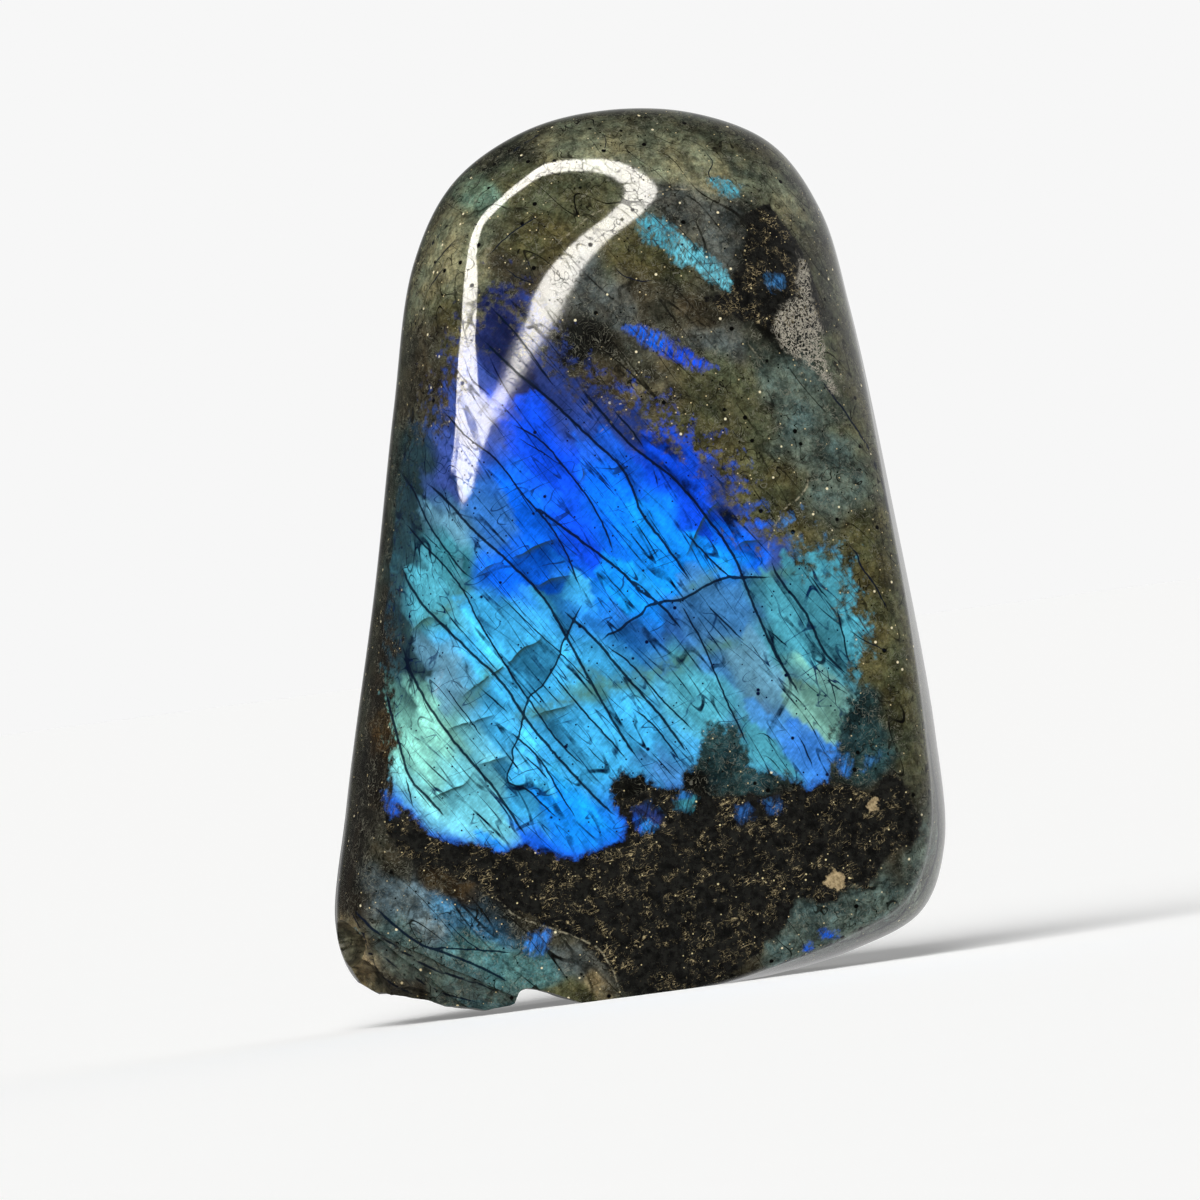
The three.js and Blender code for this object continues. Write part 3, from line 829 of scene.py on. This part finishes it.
def plates(points):
    """The middle of the cleavage plate that each point lies in, and a number from 0 to 1 for it."""
    along = np.array((math.cos(CRACK_COURSE), math.sin(CRACK_COURSE)))
    sideways = np.array((-along[1], along[0]))
    laid = np.column_stack([points @ along / PLATE_LENGTH, points @ sideways / PLATE_WIDTH])
    cells = np.floor(laid).astype(int)
    scatter = np.random.default_rng(PLATE_SEED).random((PLATE_GRID, PLATE_GRID, 3))
    nearest = np.full(len(points), np.inf)
    middles, numbers = np.zeros_like(points), np.zeros(len(points))
    for step in np.ndindex(3, 3):
        cell = cells + step - 1
        own = scatter[cell[:, 0] % PLATE_GRID, cell[:, 1] % PLATE_GRID]
        middle = cell + own[:, :2]
        gap = np.hypot(*(laid - middle).T)
        closer = gap < nearest
        nearest[closer], middles[closer], numbers[closer] = gap[closer], middle[closer], own[closer, 2]
    return middles[:, :1] * PLATE_LENGTH * along + middles[:, 1:] * PLATE_WIDTH * sideways, numbers


vertex_count = len(stone_mesh.vertices)
places = np.empty(vertex_count * 3)
stone_mesh.vertices.foreach_get("co", places)
places = places.reshape(-1, 3)
low, high = (np.array(corner) for corner in cad_box)
places = np.clip(places, low, high)
plan = places[:, [0, 2]] / MM
depth = -places[:, 1] / MM
FRONT_FROM, FRONT_OVER = 1, 6
frontness = np.clip((depth - FRONT_FROM) / FRONT_OVER, 0, 1)
BEHIND = -2
END_TAPER = 2.2


def around(line, reach):
    """The points on the front within reach of a line, their distance and side, and the end taper."""
    box = (plan > line.min(0) - reach) & (plan < line.max(0) + reach)
    near = np.where(box.all(1) & (depth > BEHIND))[0]
    distance, side, share = line_distance(plan[near], line)
    from_end = np.minimum(share, 1 - share) * np.hypot(*np.diff(line, axis=0).T).sum()
    return near, distance, side, np.clip(from_end / END_TAPER, 0, 1)


# How each drawn line marks the points round it: its own mark, the painted light and shade of the
# plates on either side, and a thin band of painted shade along each crack.
crack_line, seam_line, pale_line, veil, plate, shade = np.zeros((6, vertex_count))
FADES = 4
PLATE_FADE, SHADE_FADE = 2.6, 0.55
STEP_DROP, STEP_LIFT = 1.2, 0.12
SEAM_HEIGHT, SEAM_WIDTH = 1.4, 0.3


def mark(field, near, amount):
    field[near] = np.maximum(field[near], amount)


for half, lift, line in cracks:
    near, distance, side, taper = around(line, FADES * PLATE_FADE)
    mark(crack_line, near, np.sqrt(taper) * np.clip(1 - distance / half, 0, 1))
    plate[near] += lift * side * np.exp(-distance / PLATE_FADE) * taper
    mark(shade, near, half * np.exp(-distance / SHADE_FADE) * taper)
for drop, fade, line in steps:
    near, distance, side, taper = around(line, FADES * fade)
    taper = np.sqrt(taper)
    below = -STEP_DROP * drop * np.exp(-distance / fade) * taper
    plate[near] += np.where(side < 0, below, STEP_LIFT * np.exp(-distance) * taper)
    mark(seam_line, near, (side < 0) * np.clip(SEAM_HEIGHT - distance / SEAM_WIDTH, 0, 1) * taper)
for line in pale_lines:
    near, distance, _, taper = around(line, 1)
    mark(pale_line, near, np.sqrt(taper) * np.clip(1 - distance / HAIR, 0, 1))
for width, points in VEILS:
    near, distance, _, taper = around(smooth_line(points), FADES * width)
    mark(veil, near, np.exp(-((distance / width) ** 2)) * taper)

# The flash, a painted reflection: each plate takes a colour a little its own way, painted light and shade
# lie beside the cracks and steps, and its lower edge is fringed with deep blue. Towards the top its edge
# thins out slowly.
PLATE_PULL, PLATE_SPREAD = 0.4, 0.36
LIGHT, CONTRAST, DIMMEST, BRIGHTEST = 1.06, 1.4, 0.25, 1.8
CRACK_SHADE = 1.2
PALEST = 0.97
FRINGE_OUT, FRINGE_WIDTH, FRINGE_STRENGTH = 1.5, 0.6, 0.85
FRINGE_TOP, FRINGE_FADE = 22, 4
FAR_OUT = 9.0
THIN_FROM, THIN_OVER, THIN_TIMES = 20, 30, 5
loose_plan = shaken(shaken(plan, 5.0, 1.4), 1.7, 0.6)
middles, numbers = plates(shaken(plan, 4.0, 0.5))
flash_tone = blended(FLASH_STROKES, FLASH_COLOURS, loose_plan + PLATE_PULL * (middles - plan))
plate += PLATE_SPREAD * (numbers - 0.5)
flash_tone *= (np.clip(LIGHT + CONTRAST * plate, DIMMEST, BRIGHTEST) * (1 - CRACK_SHADE * shade))[:, None]
flash_tone = np.minimum(flash_tone, PALEST)
main_flash = inside_by(FLASH_OUTLINE, plan)
height = plan @ np.array((math.sin(LEAN), math.cos(LEAN)))
fringe = np.exp(-np.clip(main_flash, 0, FAR_OUT) / FRINGE_WIDTH) * (main_flash > -FRINGE_OUT)
fringe = fringe * np.clip((FRINGE_TOP - height) / FRINGE_FADE, 0, 1)
flash_tone += (linear(DEEP_FRINGE) - flash_tone) * (FRINGE_STRENGTH * fringe)[:, None]
main_flash = main_flash / (1 + THIN_TIMES * np.clip((height - THIN_FROM) / THIN_OVER, 0, 1))

# The stone round the flash takes the same painted light and shade beside the cracks and steps, more weakly.
STONE_CONTRAST, STONE_DIMMEST, STONE_BRIGHTEST = 0.6, 0.3, 1.5
stone_tone = blended(STONE_STROKES, STONE_COLOURS, shaken(shaken(plan, 4.0, 1.6), 1.3, 0.7))
stone_tone *= np.clip(1 + STONE_CONTRAST * plate, STONE_DIMMEST, STONE_BRIGHTEST)[:, None]
stone_tone += (linear(BACK_TONE) - stone_tone) * (1 - frontness)[:, None]

# Every field goes on the mesh's points, and none of the drawn outlines reaches the hidden side.
CRACKS_FROM = 0.4
hidden = (1 - frontness) * FAR_OUT
fields = {"crack_line": crack_line * (frontness > CRACKS_FROM), "seam_line": seam_line,
          "pale_line": pale_line, "veil": veil, "flash": main_flash - hidden}
for name, outlines in (("stray", STRAY_FLASHES), ("dark", DARK_OUTLINES), ("chip", CHIPS),
                       ("sparkle", [SPARKLE_OUTLINE])):
    fields[name] = np.max([inside_by(outline, plan) for outline in outlines], axis=0) - hidden
fields["front"] = frontness
stone_mesh.vertices.foreach_set("co", places.ravel())
for name, values in fields.items():
    field = stone_mesh.attributes.new(name, "FLOAT", "POINT")
    field.data.foreach_set("value", values.astype(np.float32))
for name, colours in (("flash_tone", flash_tone), ("stone_tone", stone_tone)):
    field = stone_mesh.attributes.new(name, "FLOAT_COLOR", "POINT")
    opaque = np.column_stack([colours, np.ones(vertex_count)])
    field.data.foreach_set("color", opaque.astype(np.float32).ravel())
broken = np.array([face.material_index for face in stone_mesh.polygons], np.float32)
stone_mesh.attributes.new("broken", "FLOAT", "FACE").data.foreach_set("value", broken)
stone_mesh.polygons.foreach_set("material_index", np.zeros(len(broken), np.int32))
stone_mesh.materials.clear()
stone_mesh.shade_smooth()
BROKEN_EDGE = math.radians(40)
stone_mesh.set_sharp_from_angle(angle=BROKEN_EDGE)

# Labradorite polished to a glass-like gloss: grey-green feldspar, a blue flash cut by cleavage
# cracks, and a black band of fine dark grains with brassy needles. Broken faces are duller.
POLISH_ROUGHNESS, BROKEN_ROUGHNESS = 0.06, 0.38


def bare_material(name):
    made = bpy.data.materials.new(name)
    made.use_nodes = True
    made.node_tree.nodes.clear()
    return made


polished = bare_material("polished_labradorite")
shader = polished.node_tree


def add(kind, *inputs, out=0, tree=shader, **settings):
    """A node with its inputs, in order and then by number or name, and its settings."""
    made = tree.nodes.new("ShaderNode" + kind)
    for name, value in settings.items():
        setattr(made, name, value)
    by_name = inputs[-1] if inputs and isinstance(inputs[-1], dict) else {}
    in_order = inputs[:-1] if by_name else inputs
    for key, value in {**dict(enumerate(in_order)), **by_name}.items():
        if isinstance(value, bpy.types.NodeSocket):
            tree.links.new(value, made.inputs[key])
        else:
            made.inputs[key].default_value = value
    return made.outputs[out] if made.outputs else made


def rgba(code):
    return (*linear(code), 1.0)


millimetres = add("Mapping", add("TexCoord", out=3), {"Scale": (1000, 1000, 1000)})
PLAIN_COURSE = (0.0, 1.0)


def lumps(size, course=PLAIN_COURSE, seed=0.0, detail=5, distortion=0.0):
    """Noise with lumps of this many millimetres, drawn out along a course by so many times."""
    turn, stretch = course
    laid = add("Mapping", millimetres, {"Location": (seed, seed, seed), "Rotation": (0, -turn, 0),
                                        "Scale": (stretch, 1, 1)}, vector_type="TEXTURE")
    return add("TexNoise", {"Vector": laid, "Scale": 1 / size, "Detail": detail, "Roughness": 0.65,
                            "Distortion": distortion})


def mottled(size, low, high, course=PLAIN_COURSE, seed=0.0, crisp=0.18):
    """Cloudy patches of that size in millimetres, between a low and a high value."""
    return add("MapRange", lumps(size, course, seed), 0.5 - crisp, 0.5 + crisp, low, high,
               interpolation_type="SMOOTHSTEP")


NOISE_SLOPE = 0.22


def fine_lines(size, width, course=PLAIN_COURSE, seed=0.0, detail=2, distortion=0.0):
    """Thin lines where such noise passes its middle value, so they wind, meet and end."""
    off = add("Math", lumps(size, course, seed, detail, distortion), 0.5, operation="SUBTRACT")
    level = NOISE_SLOPE * width / size
    return add("MapRange", add("Math", off, operation="ABSOLUTE"), 1.3 * level, 0.5 * level, 0, 1,
               interpolation_type="SMOOTHSTEP")


def edged(name, ragged, size, soft):
    """A drawn outline as a mask whose edge wanders by some tenths of a millimetre."""
    wander = add("Math", lumps(size, detail=4), 4 * ragged, -2 * ragged, operation="MULTIPLY_ADD")
    drawn = add("Attribute", attribute_name=name, out=2)
    return add("MapRange", add("Math", drawn, wander, operation="ADD"), -soft, soft, 0, 1,
               interpolation_type="SMOOTHSTEP")


def specks(size, share, radius, seed):
    """Round dots: one in each cell of that size where the cell's own number is under the share."""
    shifted = add("VectorMath", millimetres, (seed, seed, seed), operation="ADD")
    distance = add("TexVoronoi", {"Vector": shifted, "Scale": 1 / size})
    number = add("SeparateColor", add("TexVoronoi", {"Vector": shifted, "Scale": 1 / size}, out=1))
    dot = add("MapRange", distance, radius / size, 0.6 * radius / size, 0, 1,
              interpolation_type="SMOOTHSTEP")
    return add("Math", dot, add("Math", number, share, operation="LESS_THAN"), operation="MULTIPLY")


def coated(colour, *coats):
    """A colour with coats laid over it in turn, each through its mask."""
    for mask, paint in coats:
        colour = add("Mix", {0: mask, 6: colour, 7: rgba(paint) if isinstance(paint, str) else paint}, out=2,
                     data_type="RGBA")
    return colour


# Grey-green feldspar: mottled lighter and darker, browner in places, crossed by healed
# hairlines, and dusted with gold specks and black pits.
front = add("Attribute", attribute_name="front", out=2)
stone_paint = add("Attribute", attribute_name="stone_tone")
patchy = add("Math", mottled(2.4, 0.5, 1.55), mottled(0.75, 0.55, 1.5, seed=1.0), operation="MULTIPLY")
patchy = add("Math", patchy, mottled(0.22, 0.72, 1.3, seed=5.0), operation="MULTIPLY")
hidden_patches = add("Math", mottled(9.0, 0.35, 1.25, seed=3.0), front, operation="MAXIMUM")
patchy = add("Math", patchy, hidden_patches, operation="MULTIPLY")
ground = add("Mix", {0: 1.0, 6: stone_paint, 7: patchy}, out=2, data_type="RGBA", blend_type="MULTIPLY")
browner = add("Mix", {0: mottled(3.6, 0.0, 1.0, seed=8.0), 6: rgba("e4f2f2"), 7: rgba("fff4e0")}, out=2,
              data_type="RGBA")
ground = add("Mix", {0: 1.0, 6: ground, 7: browner}, out=2, data_type="RGBA", blend_type="MULTIPLY")
rubbed = add("Math", fine_lines(0.9, 0.09, seed=15.0, detail=1, distortion=1.6),
             mottled(1.8, 0.0, 0.5, seed=17.0), operation="MULTIPLY")
healed = add("Math", fine_lines(2.6, 0.13, (CRACK_COURSE, 6.0), detail=0), mottled(5.0, 0.0, 1.0, seed=2.0),
             operation="MULTIPLY")
winding = add("Math", fine_lines(1.7, 0.13, seed=6.0, detail=1, distortion=0.9),
              mottled(3.0, 0.0, 1.0, seed=4.0), operation="MULTIPLY")
pits = add("Math", specks(0.9, 0.6, 0.12, 11.0), specks(2.2, 0.8, 0.3, 13.0), operation="MAXIMUM")
ground = coated(ground, (rubbed, "8a8878"), (healed, "0c0c0a"), (winding, "12110c"), (pits, "080807"),
                (specks(0.72, 0.42, 0.09, 0.0), "cdbb8c"), (specks(1.7, 0.6, 0.17, 3.0), "e8dcb6"))

# The black band: near-black grains with fine brassy threads that lean up to the right, and pale gold sparks
# that are painted glints.
THREAD_COURSE = (math.radians(20), 3.2)
band = edged("dark", 0.6, 1.6, 0.35)
soot = add("Mix", {0: mottled(0.7, 0.0, 1.0, seed=19.0), 6: rgba("0a0a09"), 7: rgba("20201d")}, out=2,
           data_type="RGBA")
threads = add("Math", fine_lines(1.0, 0.05, THREAD_COURSE, detail=1, distortion=1.8),
              fine_lines(0.8, 0.035, seed=5.0, detail=2, distortion=1.4), operation="MAXIMUM")
threads = add("Math", threads, mottled(1.5, -0.8, 1.0, seed=7.0, crisp=0.12), operation="MULTIPLY")
brass = add("Mix", {0: mottled(0.35, 0.0, 1.0, seed=9.0, crisp=0.12), 6: rgba("3c382c"), 7: rgba("b8a67c")},
            out=2, data_type="RGBA")
sparks = add("Math", specks(0.6, 0.3, 0.075, 15.0), specks(1.1, 0.25, 0.12, 17.0), operation="MAXIMUM")
colour = coated(ground, (band, coated(soot, (threads, brass), (sparks, "e0d09c"))))

# The flash: plates between the cleavage cracks, each its own blue, with a silky grain, dark
# hairlines along the cracks, a few across them, and dark dots.
SILK_COURSE = (CRACK_COURSE + math.radians(100), 8.0)
silk = add("Math", mottled(0.17, 0.88, 1.14, SILK_COURSE), mottled(1.7, 0.8, 1.28, (CRACK_COURSE, 1.8)),
           operation="MULTIPLY")
silk = add("Math", silk, mottled(0.5, 0.84, 1.16, seed=10.0), operation="MULTIPLY")
glow = add("Mix", {0: 1.0, 6: add("Attribute", attribute_name="flash_tone"), 7: silk}, out=2,
           data_type="RGBA", blend_type="MULTIPLY")
veiled = add("Math", add("Attribute", attribute_name="veil", out=2), mottled(0.9, 0.3, 0.95, seed=12.0),
             operation="MULTIPLY")
# Three sets of hairlines along the cracks: how far apart, how wide, turned by how much, and a seed.
HAIRLINES = ((1.6, 0.12, 0.0, 16.0), (1.1, 0.08, 0.04, 18.0), (2.0, 0.14, -0.05, 37.0))
parallel = [add("Math", fine_lines(size, width, (CRACK_COURSE + turn, 12.0), seed=seed, detail=0),
                mottled(3.2, -0.2, 1.0, seed=seed + 1), operation="MULTIPLY")
            for size, width, turn, seed in HAIRLINES]
crossing = add("Math", fine_lines(2.4, 0.07, (CRACK_COURSE + math.radians(80), 4.0), seed=20.0, detail=1),
               mottled(3.0, 0.0, 0.8, seed=22.0, crisp=0.1), operation="MULTIPLY")
dots = add("Math", specks(0.95, 0.8, 0.12, 21.0), specks(2.4, 0.8, 0.24, 23.0), operation="MAXIMUM")
glow = coated(glow, (veiled, "4a7a72"), (crossing, "0c2450"), (parallel[1], "0a1e44"),
              (parallel[0], "060f24"), (parallel[2], "060f24"), (dots, "0a1230"))
lit = edged("flash", 0.65, 1.1, 0.35)
hatched = add("Math", edged("stray", 0.5, 0.8, 0.45),
              mottled(0.3, 0.05, 1.15, (math.radians(70), 5.0), seed=24.0), operation="MULTIPLY")

# What crosses everything: the dark seams of the steps, open cracks, pale scratches and gold seams,
# tan chips, and silvery sparkle painted as pale specks and lines, a painted glint.
drawn = add("Attribute", attribute_name="crack_line", out=2)
wavering = add("Math", lumps(0.7), 0.5, -0.25, operation="MULTIPLY_ADD")
open_crack = add("MapRange", add("Math", drawn, wavering, operation="ADD"), 0.42, 0.72, 0, 0.94,
                 interpolation_type="SMOOTHSTEP")
seam = add("Math", add("Attribute", attribute_name="seam_line", out=2), mottled(0.8, 0.8, 1.2, seed=26.0),
           operation="MULTIPLY")
scratch = add("Math", add("Attribute", attribute_name="pale_line", out=2), mottled(0.5, -0.7, 1.0, seed=28.0),
              operation="MULTIPLY")
silver = add("Math", fine_lines(0.5, 0.12, seed=30.0, detail=3, distortion=1.0),
             specks(0.5, 0.6, 0.13, 31.0), operation="MAXIMUM")
silver = add("Math", silver, edged("sparkle", 0.5, 1.0, 0.4), operation="MULTIPLY")
chip_paint = add("Mix", {0: mottled(0.4, 0.0, 1.0, seed=32.0), 6: rgba("75654a"), 7: rgba("b8a47e")}, out=2,
                 data_type="RGBA")
colour = coated(colour, (lit, glow), (hatched, glow), (seam, "203c3c"), (open_crack, "0a1424"),
                (scratch, "a49c82"), (silver, "a8a293"), (edged("chip", 0.3, 0.45, 0.1), chip_paint))

# The broken corner is the same stone, unpolished: a little duller and browner, and finely rough.
rough_face = add("Attribute", attribute_name="broken", out=2)
dull = add("Mix", {0: mottled(1.6, 0.0, 1.0, seed=34.0), 6: rgba("a89e8c"), 7: rgba("fffcf2")}, out=2,
           data_type="RGBA")
colour = add("Mix", {0: rough_face, 6: colour, 7: dull}, out=2, data_type="RGBA", blend_type="MULTIPLY")

# Open cracks and pits swallow the reflections, so they cut dark lines and dots through them.
DARKENED = 0.9
RELIEF_DEPTH = 0.06
gloss = add("Math", rough_face, BROKEN_ROUGHNESS - POLISH_ROUGHNESS, POLISH_ROUGHNESS,
            operation="MULTIPLY_ADD")
hollow = add("Math", open_crack, pits, operation="MAXIMUM")
for line in (healed, winding, *parallel, dots):
    hollow = add("Math", hollow, line, operation="MAXIMUM")
hollow = add("Math", hollow, DARKENED, operation="MULTIPLY")
mirror = add("Mix", {0: hollow, 6: rgba("ffffff"), 7: rgba("202020")}, out=2, data_type="RGBA")
rough_relief = add("Math", lumps(0.6, detail=4), rough_face, operation="MULTIPLY")
grain_relief = add("Math", lumps(0.35, detail=3), add("Math", band, 0.22, 0.03, operation="MULTIPLY_ADD"),
                   operation="MULTIPLY")
relief = add("Math", rough_relief, grain_relief, operation="ADD")
bumped = add("Bump", {"Strength": 0.5, "Distance": RELIEF_DEPTH * MM, "Height": relief})
surface = add("BsdfPrincipled", {"Base Color": colour, "Roughness": gloss, "IOR": 1.56,
                                 "Specular IOR Level": 0.3, "Specular Tint": mirror, "Normal": bumped})
add("OutputMaterial", surface)

stone_mesh.materials.append(polished)
stone = placed("labradorite_stone", stone_mesh)
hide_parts("stone")
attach(stone, "root")

# The floor: a matt pale board lit from below like a light table, so that it is as pale as the
# wall behind, and big enough that its edge is never seen.
FLOOR_RADIUS = 9.0
FLOOR_SIDES = 96
BOARD_GLOW = 0.22
floor_mesh = bpy.data.meshes.new("floor")
work = bmesh.new()
bmesh.ops.create_circle(work, cap_ends=True, segments=FLOOR_SIDES, radius=FLOOR_RADIUS)
work.to_mesh(floor_mesh)
work.free()
board = bare_material("matt_pale_board")
matt = add("BsdfPrincipled", {"Base Color": rgba("ebebea"), "Roughness": 0.9, "Specular IOR Level": 0.0,
                              "Emission Color": rgba("ffffff"), "Emission Strength": BOARD_GLOW},
           tree=board.node_tree)
add("OutputMaterial", matt, tree=board.node_tree)
floor_mesh.materials.append(board)
floor = placed("floor", floor_mesh)
floor.visible_glossy = False

# The lamp: a bent tube up to the left in front, seen in the polish as the long loop. Here is the
# loop's outer and inner edge on the sheet, from its tail up the left side and over the top.
LOOP = [
    ((462, 505), (480, 392)), ((457, 470), (478, 372)), ((456, 434), (476, 345)), ((458, 388), (477, 320)),
    ((461, 343), (478, 298)), ((464, 298), (478, 275)), ((468, 260), (477, 258)), ((472, 240), (479, 243)),
    ((483, 218), (484, 228)), ((497, 204), (497, 213)), ((519, 185), (519, 194)), ((542, 168), (542, 179)),
    ((586, 162), (586, 174)), ((615, 164), (608, 178)), ((643, 177), (622, 187)), ((656, 194), (625, 197)),
    ((640, 217), (611, 216)), ((613, 238), (588, 234)), ((591, 260), (561, 259)), ((578, 279), (545, 279)),
    ((564, 303), (533, 303)), ((552, 326), (525, 326)), ((534, 354), (516, 354)), ((514, 387), (503, 387)),
    ((494, 422), (491, 402)), ((476, 476), (485, 397)),
]
LAMP_DISTANCE = 0.2
LAMP_STEPS = 7
LAMP_STRENGTH = 30.0
NUDGE = 0.05


def mirrored(points):
    """Where the camera's sight of these sheet points ends up, thrown back by the polish."""
    flat = on_sheet(points)
    surface = on_face(FRONT, flat)
    rightwards = on_face(FRONT, flat + (NUDGE, 0)) - surface
    upwards = on_face(FRONT, flat + (0, NUDGE)) - surface
    ends = []
    for place, side, rise in zip(surface, rightwards, upwards):
        place = Vector(place) * MM
        sight = (place - camera.matrix_world.translation).normalized()
        ends.append(place + sight.reflect(Vector(side).cross(Vector(rise)).normalized()) * LAMP_DISTANCE)
    return np.array(ends)


lamp_mesh = bpy.data.meshes.new("lamp_tube")
outer, inner = (closed_curve(mirrored(edge), LAMP_STEPS) for edge in zip(*LOOP))
total = len(outer)
lamp_faces = [(k, (k + 1) % total, total + (k + 1) % total, total + k) for k in range(total)]
lamp_mesh.from_pydata(np.vstack([outer, inner]).tolist(), [], lamp_faces)
glowing = bare_material("lamp_tube")
lamp_light = add("Emission", (1, 0.965, 0.9, 1), LAMP_STRENGTH, tree=glowing.node_tree)
add("OutputMaterial", lamp_light, tree=glowing.node_tree)
lamp_mesh.materials.append(glowing)
lamp = placed("ring_lamp", lamp_mesh)
lamp.visible_camera = False
lamp.visible_diffuse = False
lamp.visible_shadow = False

# The broad soft light from the same side, which gives no reflection of its own.
SOFT_STRENGTH = 3.2
SOFT_SPREAD = math.radians(50)
SOFT_FROM = right * -0.36 + up * 0.66 + towards * 0.66
soft_data = bpy.data.lights.new("soft_key", "SUN")
soft_data.energy = SOFT_STRENGTH
soft_data.angle = SOFT_SPREAD
soft = placed("soft_key", soft_data)
soft.rotation_mode = "QUATERNION"
soft.rotation_quaternion = SOFT_FROM.to_track_quat("Z", "Y")
soft.visible_glossy = False

# The studio round it: bright far behind to the right, dark in front and on the left, so that
# only the right rim and the base catch a pale edge.
BRIGHT_SIDE = (0.75, 0.66, -0.1)
EDGE_OF_LIGHT = (0.3, 0.95)
DARK_LEVEL, BRIGHT_LEVEL, WALL_LEVEL = 0.05, 0.9, 0.93
world = bpy.data.worlds.new("studio")
bpy.context.scene.world = world
world.use_nodes = True
sky = world.node_tree
sky.nodes.clear()
facing = add("VectorMath", add("TexCoord", tree=sky), BRIGHT_SIDE, operation="DOT_PRODUCT", out=1, tree=sky)
behind = add("MapRange", facing, *EDGE_OF_LIGHT, DARK_LEVEL, BRIGHT_LEVEL, interpolation_type="SMOOTHSTEP",
             tree=sky)
shown = add("LightPath", tree=sky)
level = add("Mix", {0: shown, 2: behind, 3: WALL_LEVEL}, tree=sky)
lighting = add("Background", (1, 1, 1, 1), level, tree=sky)
add("OutputWorld", lighting, tree=sky)
bpy.context.scene.view_settings.view_transform = "Standard"
